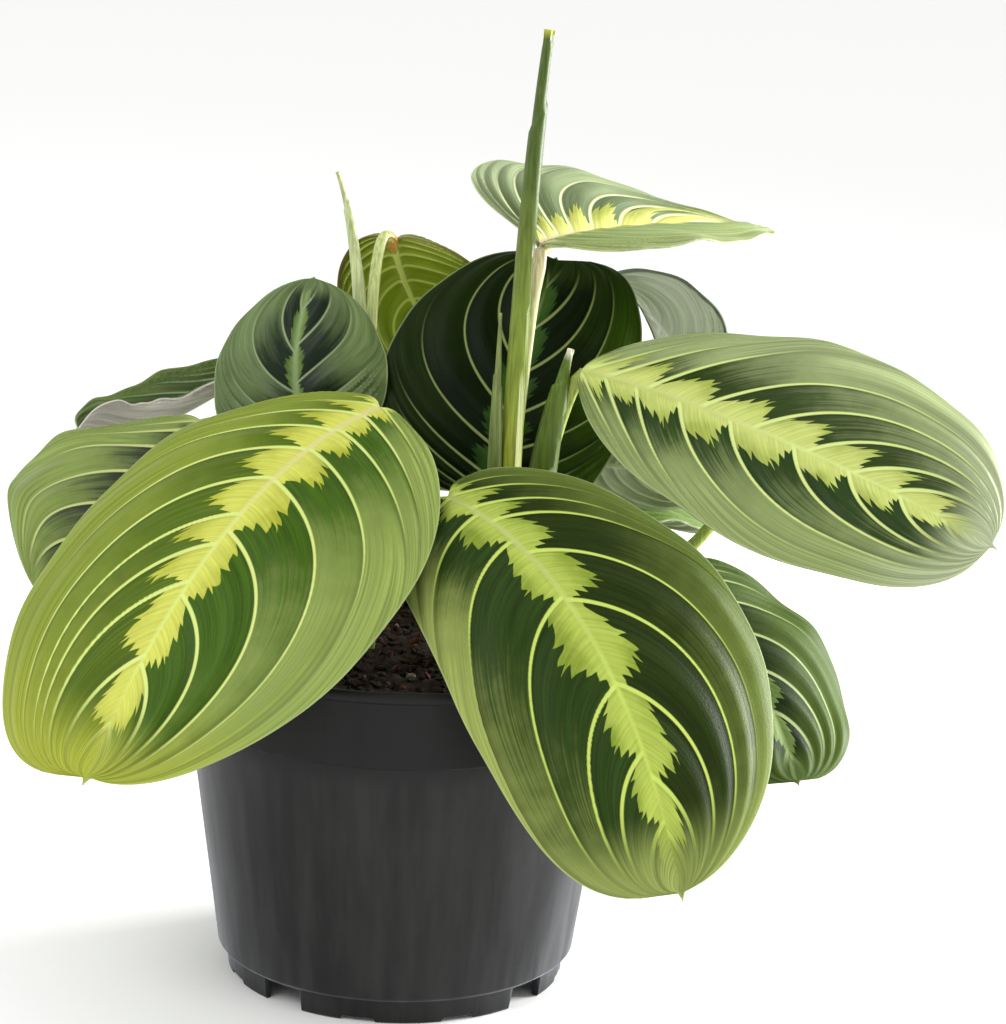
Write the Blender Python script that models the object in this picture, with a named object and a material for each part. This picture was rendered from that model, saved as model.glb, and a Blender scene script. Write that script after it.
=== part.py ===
"""A prayer plant (maranta) growing in a 12 cm plastic nursery pot.

Everything is in metres, +Z up. The plant is laid out from the pot's axis, with the floor
at z = 0, and at the end the whole of it is centred over the origin. Each leaf is one grown
piece, a blade with its stalk, and so is each shoot with the rolled leaf that stands in it.
"""

import bmesh
import bpy
from math import cos, pi, radians, sin
from mathutils import Matrix, Vector, noise

# ---------------------------------------------------------------- driving dimensions
POT_RADIUS = 0.0600          # outside of the lip
POT_HEIGHT = 0.0950
POT_WALL = 0.0013
POT_SIDES = 56
RIM_HEIGHT = 0.0205          # the band under the lip
RIM_STEP = 0.0009            # how far that band stands out from the wall
WALL_FOOT_RADIUS = 0.0493    # outside of the wall where it meets the base
FOOT_RADIUS = 0.0463
FOOT_HEIGHT = 0.0077
FOOT_TURN = -83.0            # compass angle of one foot's middle, in degrees
NOTCH_ANGLE = 15.0           # the gap between two feet
NOTCH_HEIGHT = 0.0060
RECESS_ANGLE = 11.0          # the two shallow recesses in each foot
RECESS_HEIGHT = 0.0009
RECESS_OFFSET = 17.0         # from the foot's middle to a recess's middle
DRAIN_RADIUS = 0.0032

SOIL_LEVEL = 0.0870          # at the wall
SOIL_CROWN = 0.0030          # how much higher the middle is
SOIL_CRUMB = 0.0011          # height of the crumbs
SOIL_RINGS = 9
SOIL_SIDES = 36
GAP = 0.0003                 # between pieces that touch
HOLE_DEPTH = 0.0120          # of a stalk's hole in the soil
HOLE_PLAY = 0.0010           # how much wider than the stalk its hole is
HOLE_SIDES = 10
CLEAR_OF_SOIL = 0.0030       # a stalk starts to bend this far above the soil's crown

BLADE_THICKNESS = 0.0008
BLADE_ROWS = 14
BLADE_COLUMNS = (-1.0, -0.72, -0.42, -0.13, 0.0, 0.13, 0.42, 0.72, 1.0)
KEEL_DEPTH = 0.0012          # the midrib's ridge under the blade, at the joint
WAVES = 2.5                  # of the edge along a blade
POINT_WIDTH = 0.10           # the drawn-out tip's width, against the blade's
STALK_SIDES = 6
STALK_STEPS = 9
JOINT_SWELLING = 1.35        # the stalk's thick joint under the blade, against its top
SPEAR_SIDES = 8
SPEAR_STEPS = 10

# Each leaf: foot is where its stalk stands in the soil, bow is the point that pulls the
# stalk's curve, and the midrib runs from joint past mid to tip. face is the compass angle
# and the tilt of the blade's upper face. width is doubled half width, which left and right
# scale for each half, seen from above with the tip ahead. left_form and right_form say how
# blunt each half is at its base and at its tip: the smaller, the blunter. fold lifts each
# half out of the blade's plane, in degrees, curl bends its edge back down by so many degrees,
# and wave is the height of the waved edge. lean draws the edge back beside the joint and
# forward beside the tip, by so much of its reach.
LEAVES = (
    dict(name="leaf_front_left", foot=(-0.010, 0.000), bow=(-0.008, 0.006, 0.135),
         joint=(-0.008, -0.008, 0.159), mid=(-0.045, -0.045, 0.132), tip=(-0.077, -0.076, 0.073),
         face=(-105, 42), width=0.092, left=1.12, right=1.06, fold=(4, -2), curl=(16, 30),
         left_form=(0.76, 0.72), right_form=(0.70, 0.38), lean=(0.52, 0.33), wave=0.0010),
    dict(name="leaf_front_right", foot=(0.018, -0.014), bow=(0.015, -0.010, 0.125),
         joint=(0.011, -0.028, 0.140), mid=(0.049, -0.061, 0.112), tip=(0.074, -0.086, 0.052),
         face=(-85, 40), width=0.086, left=1.02, right=0.90, fold=(-2, 3), curl=(24, 16),
         left_form=(0.80, 0.58), right_form=(0.45, 0.32), lean=(0.80, 0.0), wave=0.0010),
    dict(name="leaf_right", foot=(0.032, 0.004), bow=(0.036, 0.004, 0.150),
         joint=(0.045, -0.002, 0.170), mid=(0.098, -0.018, 0.156), tip=(0.153, -0.040, 0.134),
         face=(-80, 42), width=0.074, left=1.08, right=0.90, fold=(2, 4), curl=(18, 14),
         left_form=(0.82, 0.50), right_form=(0.54, 0.41), wave=0.0010),
    dict(name="leaf_low_right", foot=(0.040, -0.014), bow=(0.048, -0.010, 0.112),
         joint=(0.067, -0.014, 0.117), mid=(0.090, -0.028, 0.099), tip=(0.105, -0.048, 0.071),
         face=(-60, 45), width=0.066, left_form=(0.44, 0.42), right_form=(0.50, 0.40),
         curl=(26, 20), wave=0.0015),
    dict(name="leaf_centre", foot=(0.020, 0.014), bow=(0.022, 0.017, 0.115),
         joint=(0.021, 0.010, 0.132), mid=(0.028, 0.024, 0.162), tip=(0.038, 0.046, 0.193),
         face=(-92, 12), width=0.073, right=0.89, left_form=(0.60, 0.70),
         right_form=(0.34, 0.31), lean=(0.30, 0.42), fold=(5, 5), curl=(14, 14)),
    dict(name="leaf_left", foot=(-0.020, 0.015), bow=(-0.024, 0.018, 0.120),
         joint=(-0.030, 0.016, 0.147), mid=(-0.033, 0.022, 0.167), tip=(-0.029, 0.032, 0.187),
         face=(-98, 15), width=0.049, right=1.04, left_form=(0.36, 0.76),
         right_form=(0.28, 0.41), lean=(0.33, 0.12), curl=(22, 22)),
    dict(name="shoot_back_left", foot=(-0.013, 0.036), bow=(-0.016, 0.032, 0.216),
         joint=(-0.008, 0.050, 0.196), mid=(-0.002, 0.064, 0.176), tip=(0.012, 0.087, 0.149),
         face=(80, 25), width=0.057, left=0.75, right=1.10, left_form=(0.52, 0.42),
         right_form=(0.64, 0.42), lean=(0.42, 0.0), curl=(20, 20)),
    dict(name="shoot_tall", foot=(0.026, -0.008), bow=(0.027, -0.004, 0.150),
         joint=(0.033, 0.002, 0.203), mid=(0.057, 0.031, 0.204), tip=(0.095, 0.060, 0.202),
         face=(-90, 86), width=0.078, left=0.78, left_form=(0.40, 1.40),
         right_form=(0.40, 0.50), lean=(0.40, 0.0), fold=(38, 7), curl=(10, 4)),
    dict(name="leaf_back_right", foot=(0.048, 0.018), bow=(0.112, 0.008, 0.120),
         joint=(0.080, 0.041, 0.160), mid=(0.071, 0.051, 0.172), tip=(0.061, 0.069, 0.179),
         face=(95, 30), width=0.045, curl=(26, 26)),
    dict(name="leaf_low_left", foot=(-0.028, 0.002), bow=(-0.038, 0.018, 0.150),
         joint=(-0.058, 0.015, 0.149), mid=(-0.073, -0.004, 0.129), tip=(-0.098, -0.024, 0.109),
         face=(-105, 45), width=0.062, left=0.9, right=1.42, left_form=(0.50, 0.40),
         right_form=(0.95, 0.78), lean=(0.40, 0.0), curl=(20, 24), wave=0.0020),
    dict(name="leaf_far_left", foot=(-0.022, 0.042), bow=(-0.023, 0.052, 0.138),
         joint=(-0.046, 0.054, 0.159), mid=(-0.074, 0.049, 0.141), tip=(-0.095, 0.035, 0.141),
         face=(-90, 88), width=0.040, right=0.80, left_form=(1.20, 0.34),
         right_form=(0.56, 0.66), lean=(0.0, 0.45), fold=(37, 34)),
    dict(name="leaf_mid_right", foot=(0.036, 0.020), bow=(0.038, 0.020, 0.120),
         joint=(0.044, 0.030, 0.138), mid=(0.063, 0.035, 0.136), tip=(0.086, 0.036, 0.130),
         face=(90, 35), width=0.032),
    dict(name="leaf_rear", foot=(0.006, 0.032), bow=(0.006, 0.034, 0.120),
         joint=(0.004, 0.042, 0.134), mid=(-0.002, 0.080, 0.132), tip=(-0.007, 0.118, 0.110),
         face=(92, 70), width=0.074, left_form=(0.66, 0.50), right_form=(0.60, 0.46),
         lean=(0.40, 0.05), curl=(24, 24), wave=0.0010),
    dict(name="leaf_rear_left", foot=(-0.032, 0.022), bow=(-0.036, 0.028, 0.115),
         joint=(-0.048, 0.042, 0.122), mid=(-0.073, 0.068, 0.119), tip=(-0.096, 0.092, 0.098),
         face=(125, 70), width=0.068, left_form=(0.60, 0.46), right_form=(0.66, 0.52),
         lean=(0.40, 0.05), curl=(24, 24), wave=0.0010),
    dict(name="leaf_rear_right", foot=(0.040, 0.032), bow=(0.042, 0.036, 0.115),
         joint=(0.037, 0.050, 0.116), mid=(0.055, 0.082, 0.118), tip=(0.066, 0.110, 0.104),
         face=(70, 70), width=0.066, left_form=(0.62, 0.48), right_form=(0.66, 0.44),
         lean=(0.40, 0.05), curl=(24, 24), wave=0.0010),
)
STALK_FOOT_RADIUS = 0.0021
STALK_TOP_RADIUS = 0.0014

# Rolled leaves and sheaths that grow out of a stalk's foot: the points steer one curve, and
# radii are those at its foot, its middle and its tip.
SPEARS = (
    dict(of="shoot_tall", radii=(0.0038, 0.0034, 0.0019),
         points=((0.028, -0.006, 0.143), (0.027, -0.004, 0.205), (0.033, 0.002, 0.259))),
    dict(of="shoot_tall", radii=(0.0030, 0.0022, 0.0005),
         points=((0.022, -0.009, 0.130), (0.023, -0.008, 0.165), (0.023, -0.006, 0.185))),
    dict(of="shoot_back_left", radii=(0.0030, 0.0024, 0.0006),
         points=((-0.013, 0.035, 0.165), (-0.017, 0.038, 0.198), (-0.024, 0.042, 0.215))),
    dict(of="leaf_right", radii=(0.0032, 0.0042, 0.0008),
         points=((0.033, 0.003, 0.120), (0.037, 0.001, 0.155), (0.042, 0.000, 0.175))),
)

POT_COLOUR = (0.036, 0.037, 0.036)
SOIL_COLOUR = (0.020, 0.010, 0.006)
LEAF_COLOUR = (0.100, 0.220, 0.040)


# ---------------------------------------------------------------- small common functions
def clear_scene():
    for thing in list(bpy.data.objects):
        bpy.data.objects.remove(thing, do_unlink=True)


def make_material(name, colour, roughness):
    material = bpy.data.materials.new(name)
    material.use_nodes = True
    shader = material.node_tree.nodes["Principled BSDF"]
    shader.inputs["Base Color"].default_value = (*colour, 1.0)
    shader.inputs["Roughness"].default_value = roughness
    shader.inputs["Metallic"].default_value = 0.0
    return material


def add_object(name, bm, material=None):
    bmesh.ops.recalc_face_normals(bm, faces=bm.faces)
    mesh = bpy.data.meshes.new(name)
    bm.to_mesh(mesh)
    bm.free()
    mesh.shade_smooth()
    mesh.set_sharp_from_angle(angle=radians(40))
    if material:
        mesh.materials.append(material)
    thing = bpy.data.objects.new(name, mesh)
    bpy.context.scene.collection.objects.link(thing)
    return thing


def boolean(thing, operation, cutters):
    """Join or cut one object by others, apply it and remove them."""
    for cutter in cutters:
        modifier = thing.modifiers.new("cut", "BOOLEAN")
        modifier.operation = operation
        modifier.solver = "EXACT"
        modifier.object = cutter
        depsgraph = bpy.context.evaluated_depsgraph_get()
        mesh = bpy.data.meshes.new_from_object(thing.evaluated_get(depsgraph))
        thing.modifiers.clear()
        thing.data = mesh
        bpy.data.objects.remove(cutter, do_unlink=True)


def curve_point(points, t):
    """A point on the Bezier curve that the given points steer."""
    points = [Vector(p) for p in points]
    while len(points) > 1:
        points = [a.lerp(b, t) for a, b in zip(points, points[1:])]
    return points[0]


def tube(bm, route, radii, sides):
    """A closed round tube along the route, with a radius for each of its points."""
    rings = []
    side = Vector((1, 0, 0))
    for index, centre in enumerate(route):
        ahead = route[min(index + 1, len(route) - 1)] - route[max(index - 1, 0)]
        ahead.normalize()
        side = (side - ahead * side.dot(ahead)).normalized()
        across = ahead.cross(side)
        ring = []
        for k in range(sides):
            angle = 2 * pi * k / sides
            spoke = side * cos(angle) + across * sin(angle)
            ring.append(bm.verts.new(centre + spoke * radii[index]))
        rings.append(ring)
    for lower, upper in zip(rings, rings[1:]):
        for k in range(sides):
            near, far = k, (k + 1) % sides
            bm.faces.new((lower[near], lower[far], upper[far], upper[near]))
    bm.faces.new(rings[0])
    bm.faces.new(rings[-1])


# ---------------------------------------------------------------- pot
def pot_profile():
    """Half section of the pot, as (radius, height), from the base's middle outwards."""
    rim_low = POT_HEIGHT - RIM_HEIGHT
    slope = (POT_RADIUS - RIM_STEP - 0.0006 - WALL_FOOT_RADIUS) / (rim_low - FOOT_HEIGHT)
    wall_top = WALL_FOOT_RADIUS + slope * (rim_low - FOOT_HEIGHT)
    outside = [
        (0.0, FOOT_HEIGHT - 0.0014), (FOOT_RADIUS - 0.0022, FOOT_HEIGHT - 0.0014),
        (FOOT_RADIUS - 0.0018, 0.0), (FOOT_RADIUS, 0.0),
        (FOOT_RADIUS + 0.0006, FOOT_HEIGHT - 0.0016), (WALL_FOOT_RADIUS, FOOT_HEIGHT),
        (wall_top, rim_low), (wall_top + RIM_STEP, rim_low + 0.0012),
        (POT_RADIUS - 0.0007, POT_HEIGHT - 0.0030), (POT_RADIUS, POT_HEIGHT - 0.0022),
        (POT_RADIUS, POT_HEIGHT - 0.0006), (POT_RADIUS - 0.0006, POT_HEIGHT),
    ]
    inside = [
        (POT_RADIUS - POT_WALL - 0.0008, POT_HEIGHT),
        (POT_RADIUS - POT_WALL - 0.0012, POT_HEIGHT - 0.0012),
        (wall_top - POT_WALL, rim_low),
        (WALL_FOOT_RADIUS - POT_WALL, FOOT_HEIGHT + 0.0012), (0.0, FOOT_HEIGHT),
    ]
    return outside + inside


def inner_radius(height):
    """Inside radius of the pot at a height between its base and its lip."""
    inside = pot_profile()[-4:-1]
    for (r_high, z_high), (r_low, z_low) in zip(inside, inside[1:]):
        if height >= z_low:
            return r_low + (r_high - r_low) * (height - z_low) / (z_high - z_low)
    return inside[-1][0]


def add_pot(material):
    bm = bmesh.new()
    verts = [bm.verts.new((r, 0.0, z)) for r, z in pot_profile()]
    edges = [bm.edges.new(pair) for pair in zip(verts, verts[1:])]
    bmesh.ops.spin(bm, geom=verts + edges, cent=(0, 0, 0), axis=(0, 0, 1), angle=2 * pi,
                   steps=POT_SIDES, use_merge=True)
    bmesh.ops.remove_doubles(bm, verts=bm.verts, dist=0.00001)
    pot = add_object("pot", bm, material)
    bm = bmesh.new()
    for quarter in range(4):
        middle = FOOT_TURN + 90 * quarter
        cuts = ((middle + 45, NOTCH_ANGLE, NOTCH_HEIGHT),
                (middle - RECESS_OFFSET, RECESS_ANGLE, RECESS_HEIGHT),
                (middle + RECESS_OFFSET, RECESS_ANGLE, RECESS_HEIGHT))
        for compass, wide, high in cuts:
            add_foot_cutter(bm, compass, wide, high)
        add_drain_cutter(bm, middle + 45)
    boolean(pot, "DIFFERENCE", [add_object("foot_cutter", bm)])
    return pot


def add_foot_cutter(bm, compass, wide, high):
    """A block that cuts the foot ring over the given angle, up to the given height."""
    width = 2 * FOOT_RADIUS * sin(radians(wide / 2))
    low = -0.001
    block = bmesh.ops.create_cube(bm, size=1.0)["verts"]
    place = (Matrix.Rotation(radians(compass), 4, "Z")
             @ Matrix.Translation((FOOT_RADIUS, 0.0, (high + low) / 2))
             @ Matrix.Diagonal((0.010, width, high - low, 1.0)))
    bmesh.ops.transform(bm, matrix=place, verts=block)


def add_drain_cutter(bm, compass):
    """A drain hole straight through the base, just inside the foot ring."""
    place = (Matrix.Rotation(radians(compass), 4, "Z")
             @ Matrix.Translation((FOOT_RADIUS - 0.0080, 0.0, FOOT_HEIGHT)))
    bmesh.ops.create_cone(bm, cap_ends=True, segments=12, radius1=DRAIN_RADIUS,
                          radius2=DRAIN_RADIUS, depth=0.010, matrix=place)


# ---------------------------------------------------------------- soil
def soil_height(x, y):
    """Height of the crumbly soil surface at a place in the pot."""
    reach = min(1.0, (x * x + y * y) ** 0.5 / inner_radius(SOIL_LEVEL))
    crumbs = noise.noise(Vector((x, y, 0.0)) * 160) + 0.6 * noise.noise(Vector((x, y, 0.3)) * 330)
    return SOIL_LEVEL + SOIL_CROWN * (1 - reach ** 2) + SOIL_CRUMB * crumbs


def add_soil(material):
    bm = bmesh.new()
    low = FOOT_HEIGHT + GAP
    rings = []
    for ring in range(1, SOIL_RINGS + 1):
        radius = (inner_radius(SOIL_LEVEL) - GAP - 0.0004) * (ring / SOIL_RINGS) ** 0.8
        verts = []
        for k in range(SOIL_SIDES):
            angle = 2 * pi * k / SOIL_SIDES
            x, y = radius * cos(angle), radius * sin(angle)
            verts.append(bm.verts.new((x, y, soil_height(x, y))))
        rings.append(verts)
    for height in (POT_HEIGHT - RIM_HEIGHT, low + 0.0012):
        radius = inner_radius(height) - GAP - 0.0004
        angles = [2 * pi * k / SOIL_SIDES for k in range(SOIL_SIDES)]
        rings.append([bm.verts.new((radius * cos(a), radius * sin(a), height)) for a in angles])
    crown = bm.verts.new((0, 0, soil_height(0, 0)))
    for inner, outer in zip(rings, rings[1:]):
        for k in range(SOIL_SIDES):
            near, far = k, (k + 1) % SOIL_SIDES
            bm.faces.new((inner[near], inner[far], outer[far], outer[near]))
    for k in range(SOIL_SIDES):
        bm.faces.new((crown, rings[0][k], rings[0][(k + 1) % SOIL_SIDES]))
    bm.faces.new(rings[-1])
    bmesh.ops.triangulate(bm, faces=[f for f in bm.faces if len(f.verts) == 4])
    soil = add_object("soil", bm, material)
    bm = bmesh.new()
    for leaf in LEAVES:
        x, y = leaf["foot"]
        radius = hole_radius(leaf["name"])
        top = SOIL_LEVEL + SOIL_CROWN + 3 * SOIL_CRUMB
        deep = SOIL_LEVEL - HOLE_DEPTH
        place = Matrix.Translation((x, y, (top + deep) / 2))
        bmesh.ops.create_cone(bm, cap_ends=True, segments=HOLE_SIDES, radius1=radius,
                              radius2=radius, depth=top - deep, matrix=place)
    boolean(soil, "DIFFERENCE", [add_object("stalk_holes", bm)])
    return soil


def hole_radius(name):
    """A stalk's hole is a little wider than whatever stands in it."""
    widest = STALK_FOOT_RADIUS
    for spear in SPEARS:
        if spear["of"] == name:
            widest = max(widest, spear["radii"][0])
    return (widest + GAP) / cos(pi / HOLE_SIDES) + HOLE_PLAY


# ---------------------------------------------------------------- leaves
def half_width(t, form):
    """Share of the half width at t along the midrib: blunt at the base, a point at the tip."""
    base, tip = form
    s = min(1.0, t / 0.975)
    widest = base / (base + tip)
    share = s ** base * (1 - s) ** tip / (widest ** base * (1 - widest) ** tip)
    point = POINT_WIDTH * min(1.0, (1 - t) / 0.04) if t > 0.85 else 0.0
    return max(share, point)


def blade_point(leaf, t, u):
    """A point of the blade: t runs from joint to tip, u from -1 at the right edge to 1."""
    joint, mid, tip = Vector(leaf["joint"]), Vector(leaf["mid"]), Vector(leaf["tip"])
    pull = 2 * mid - (joint + tip) / 2
    centre = curve_point((joint, pull, tip), t)
    ahead = ((pull - joint).lerp(tip - pull, t)).normalized()
    compass, tilt = (radians(a) for a in leaf["face"])
    face = Vector((cos(tilt) * cos(compass), cos(tilt) * sin(compass), sin(tilt)))
    left = face.cross(ahead).normalized()
    up = ahead.cross(left)
    side = "left" if u >= 0 else "right"
    reach = leaf["width"] / 2 * leaf.get(side, 1.0) * abs(u)
    reach *= half_width(t, leaf.get(side + "_form", (0.46, 0.42)))
    half = 0 if u >= 0 else 1
    fold, curl = leaf.get("fold", (0, 0))[half], leaf.get("curl", (0, 0))[half]
    slope = radians(fold - curl * abs(u) / 2)
    phase = WAVES * t + 0.37 * half
    rise = leaf.get("wave", 0.0006) * u * u * sin(2 * pi * phase) * max(0.0, sin(pi * t)) ** 0.5
    back, forward = leaf.get("lean", (0.0, 0.0))
    sideways = left * (reach * cos(slope) * (1 - 2 * half))
    sideways += ahead * (reach * (forward * t ** 4 - back * (1 - t) ** 4))
    return centre + sideways + up * (reach * sin(slope) + rise)


def blade_normal(leaf, t, u):
    """Which way the blade's upper face looks at one of its points."""
    step = 0.01
    t = min(max(t, step), 1 - step)
    along = blade_point(leaf, t + step, u) - blade_point(leaf, t - step, u)
    across = blade_point(leaf, t, min(u + step, 1)) - blade_point(leaf, t, max(u - step, -1))
    return along.cross(across).normalized()


def add_blade(bm, leaf):
    """The blade as two faces split into triangles alike, joined by a thin edge."""
    rows = []
    for row in range(BLADE_ROWS + 1):
        t = (1 - cos(pi * row / BLADE_ROWS)) / 2
        ends = row in (0, BLADE_ROWS)
        points = []
        for u in ((0.0,) if ends else BLADE_COLUMNS):
            centre = blade_point(leaf, t, u)
            out = blade_normal(leaf, t, u) * BLADE_THICKNESS / 2
            keel = KEEL_DEPTH * (1 - t) if u == 0.0 else 0.0
            below = centre - out * (1 + 2 * keel / BLADE_THICKNESS)
            points.append((bm.verts.new(centre + out), bm.verts.new(below)))
        rows.append(points)
    last = len(BLADE_COLUMNS) - 1
    for near, far in zip(rows, rows[1:]):
        for k in range(last):
            for level in (0, 1):
                if len(near) == 1:
                    bm.faces.new((near[0][level], far[k][level], far[k + 1][level]))
                elif len(far) == 1:
                    bm.faces.new((near[k][level], near[k + 1][level], far[0][level]))
                else:
                    a, b = near[k][level], near[k + 1][level]
                    c, d = far[k][level], far[k + 1][level]
                    bm.faces.new((a, b, d))
                    bm.faces.new((a, d, c))
        for k in (0, last):
            a, b = near[k if len(near) > 1 else 0], far[k if len(far) > 1 else 0]
            bm.faces.new((a[0], a[1], b[1]))
            bm.faces.new((a[0], b[1], b[0]))


def stalk_route(leaf):
    """From its hole, straight up out of the soil, and over to the joint.

    A stalk that shares its hole with a rolled leaf starts inside that leaf's foot.
    """
    x, y = leaf["foot"]
    shared = leaf["name"] in [spear["of"] for spear in SPEARS]
    sunk = HOLE_DEPTH / 2 if shared else HOLE_DEPTH - GAP
    deep = Vector((x, y, SOIL_LEVEL - sunk))
    ground = Vector((x, y, SOIL_LEVEL + SOIL_CROWN + CLEAR_OF_SOIL))
    steer = (ground, ground + Vector((0, 0, 0.012)), Vector(leaf["bow"]), Vector(leaf["joint"]))
    curve = [curve_point(steer, step / STALK_STEPS) for step in range(STALK_STEPS + 1)]
    under = blade_normal(leaf, 0.07, 0.0) * 0.0006
    curve[-1] = curve[-1] - under
    return [deep] + curve + [blade_point(leaf, 0.07, 0.0) - under]


def add_stalk(bm, leaf):
    """The stalk, thinner towards the blade, with its thick joint at the top."""
    route = stalk_route(leaf)
    radii = []
    for index in range(len(route)):
        share = index / (len(route) - 1)
        radii.append(STALK_FOOT_RADIUS + (STALK_TOP_RADIUS - STALK_FOOT_RADIUS) * share)
    radii[-2] = STALK_TOP_RADIUS * JOINT_SWELLING
    radii[-1] = STALK_TOP_RADIUS * 0.6
    tube(bm, route, radii, STALK_SIDES)


def add_spear(bm, foot_place, spear):
    """A rolled young leaf or a sheath, a slim cone along its own curve."""
    x, y = foot_place
    deep = Vector((x, y, SOIL_LEVEL - HOLE_DEPTH + GAP))
    ground = Vector((x, y, SOIL_LEVEL + SOIL_CROWN + CLEAR_OF_SOIL))
    steer = [ground] + [Vector(p) for p in spear["points"]]
    shares = [step / SPEAR_STEPS for step in range(SPEAR_STEPS + 1)]
    route = [deep] + [curve_point(steer, t) for t in shares]
    foot, middle, top = spear["radii"]
    radii = [foot] + [foot * (1 - t) ** 2 + 2 * t * (1 - t) * middle + top * t * t for t in shares]
    tube(bm, route, radii, SPEAR_SIDES)


def add_leaf(leaf, material):
    """A leaf or a shoot as one body: its blade, its stalk and what is rolled around it."""
    bm = bmesh.new()
    add_blade(bm, leaf)
    thing = add_object(leaf["name"], bm, material)
    bm = bmesh.new()
    add_stalk(bm, leaf)
    joined = [add_object("stalk", bm)]
    for spear in SPEARS:
        if spear["of"] == leaf["name"]:
            bm = bmesh.new()
            add_spear(bm, leaf["foot"], spear)
            joined.append(add_object("spear", bm))
    boolean(thing, "UNION", joined)
    return thing


# ---------------------------------------------------------------- the whole plant
def centre_over_origin(things):
    """Stand every piece on one empty that puts the middle of the whole over the origin."""
    corners = [v.co for thing in things for v in thing.data.vertices]
    low = [min(c[axis] for c in corners) for axis in range(3)]
    high = [max(c[axis] for c in corners) for axis in range(3)]
    stand = bpy.data.objects.new("stand", None)
    bpy.context.scene.collection.objects.link(stand)
    for thing in things:
        thing.parent = stand
    stand.location = (-(low[0] + high[0]) / 2, -(low[1] + high[1]) / 2, -low[2])


clear_scene()
plastic = make_material("pot_plastic", POT_COLOUR, 0.45)
peat = make_material("peat_soil", SOIL_COLOUR, 0.95)
green = make_material("leaf_green", LEAF_COLOUR, 0.40)
pieces = [add_pot(plastic), add_soil(peat)] + [add_leaf(leaf, green) for leaf in LEAVES]
centre_over_origin(pieces)
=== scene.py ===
"""A prayer plant in its nursery pot: the finished surfaces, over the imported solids."""
from math import cos, pi, radians, sin
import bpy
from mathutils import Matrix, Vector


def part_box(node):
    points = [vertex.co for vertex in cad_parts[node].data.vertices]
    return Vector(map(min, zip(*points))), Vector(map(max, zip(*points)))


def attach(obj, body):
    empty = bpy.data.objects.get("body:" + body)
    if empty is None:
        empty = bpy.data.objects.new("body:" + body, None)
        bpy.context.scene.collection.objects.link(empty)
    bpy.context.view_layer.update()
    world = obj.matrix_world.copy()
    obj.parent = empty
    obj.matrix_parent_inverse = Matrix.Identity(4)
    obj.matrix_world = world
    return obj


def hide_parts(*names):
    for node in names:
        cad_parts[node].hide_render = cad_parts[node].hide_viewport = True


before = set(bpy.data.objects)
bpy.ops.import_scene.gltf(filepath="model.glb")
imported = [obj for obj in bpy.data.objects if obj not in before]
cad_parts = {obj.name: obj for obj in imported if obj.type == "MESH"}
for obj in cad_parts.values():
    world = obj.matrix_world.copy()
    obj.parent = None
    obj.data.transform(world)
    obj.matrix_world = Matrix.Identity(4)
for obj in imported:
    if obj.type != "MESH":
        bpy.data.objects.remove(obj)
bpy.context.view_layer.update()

from types import SimpleNamespace

import bmesh
import bpy
import numpy as np
from mathutils import Matrix, Vector, noise


# ---------------------------------------------------------------- nursery pot
# A thin pot of black polypropylene, injection moulded in one shot: a drafted wall, a band
# under the rolled lip that stiffens it, and a foot ring in four pads round the drain holes.
POT_RADIUS = 0.0600
POT_HEIGHT = 0.0950
POT_WALL = 0.0013
RIM_HEIGHT = 0.0205
RIM_STEP = 0.0009
BAND_DRAFT = 0.0006
WALL_FOOT_RADIUS = 0.0493
FOOT_RADIUS = 0.0463
FOOT_HEIGHT = 0.0077
FOOT_TURN = -83.0
NOTCH_ANGLE = 15.0
NOTCH_HEIGHT = 0.0060
RECESS_ANGLE = 11.0
RECESS_OFFSET = 17.0
RECESS_HEIGHT = 0.0009
DRAIN_RADIUS = 0.0032
DRAIN_INSET = 0.0080
rim_low = POT_HEIGHT - RIM_HEIGHT
wall_top = POT_RADIUS - RIM_STEP - BAND_DRAFT
foot_top = FOOT_HEIGHT - 0.0016
pot_low, pot_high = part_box("pot")
POT_AXIS = Vector(((pot_low.x + pot_high.x) / 2, (pot_low.y + pot_high.y) / 2, 0.0))


def linear(code):
    """The linear colour that sockets take, from an sRGB hex code."""
    parts = [int(code[k:k + 2], 16) / 255 for k in (1, 3, 5)]
    parts = [p / 12.92 if p <= 0.04045 else ((p + 0.055) / 1.055) ** 2.4 for p in parts]
    return (*parts, 1.0)


def feed(node, inputs):
    """Gives a node its inputs: numbers, colours as hex codes, or nodes and sockets to link."""
    for socket, value in inputs.items() if isinstance(inputs, dict) else enumerate(inputs):
        if isinstance(value, bpy.types.Node):
            value = next(output for output in value.outputs if output.enabled)
        if isinstance(value, bpy.types.NodeSocket):
            node.id_data.links.new(value, node.inputs[socket])
        else:
            node.inputs[socket].default_value = linear(value) if isinstance(value, str) else value


def add_node(tree, kind, inputs, stops=(), **settings):
    """Adds a node with its settings and inputs. A colour ramp also takes its stops.

    A stop is a position with a colour's hex code or a level of grey.
    """
    node = tree.nodes.new("ShaderNode" + kind)
    for name, value in settings.items():
        setattr(node, name, value)
    feed(node, inputs)
    for index, (position, tone) in enumerate(stops):
        elements = node.color_ramp.elements
        stop = elements[index] if index < 2 else elements.new(position)
        stop.position = position
        stop.color = linear(tone) if isinstance(tone, str) else (tone, tone, tone, 1.0)
    return node


def start_material(name, inputs):
    """A material with its one shader, and the values that are the same all over it."""
    material = bpy.data.materials.new(name)
    material.use_nodes = True
    shader = material.node_tree.nodes["Principled BSDF"]
    feed(shader, inputs)
    return material, material.node_tree, shader


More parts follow.
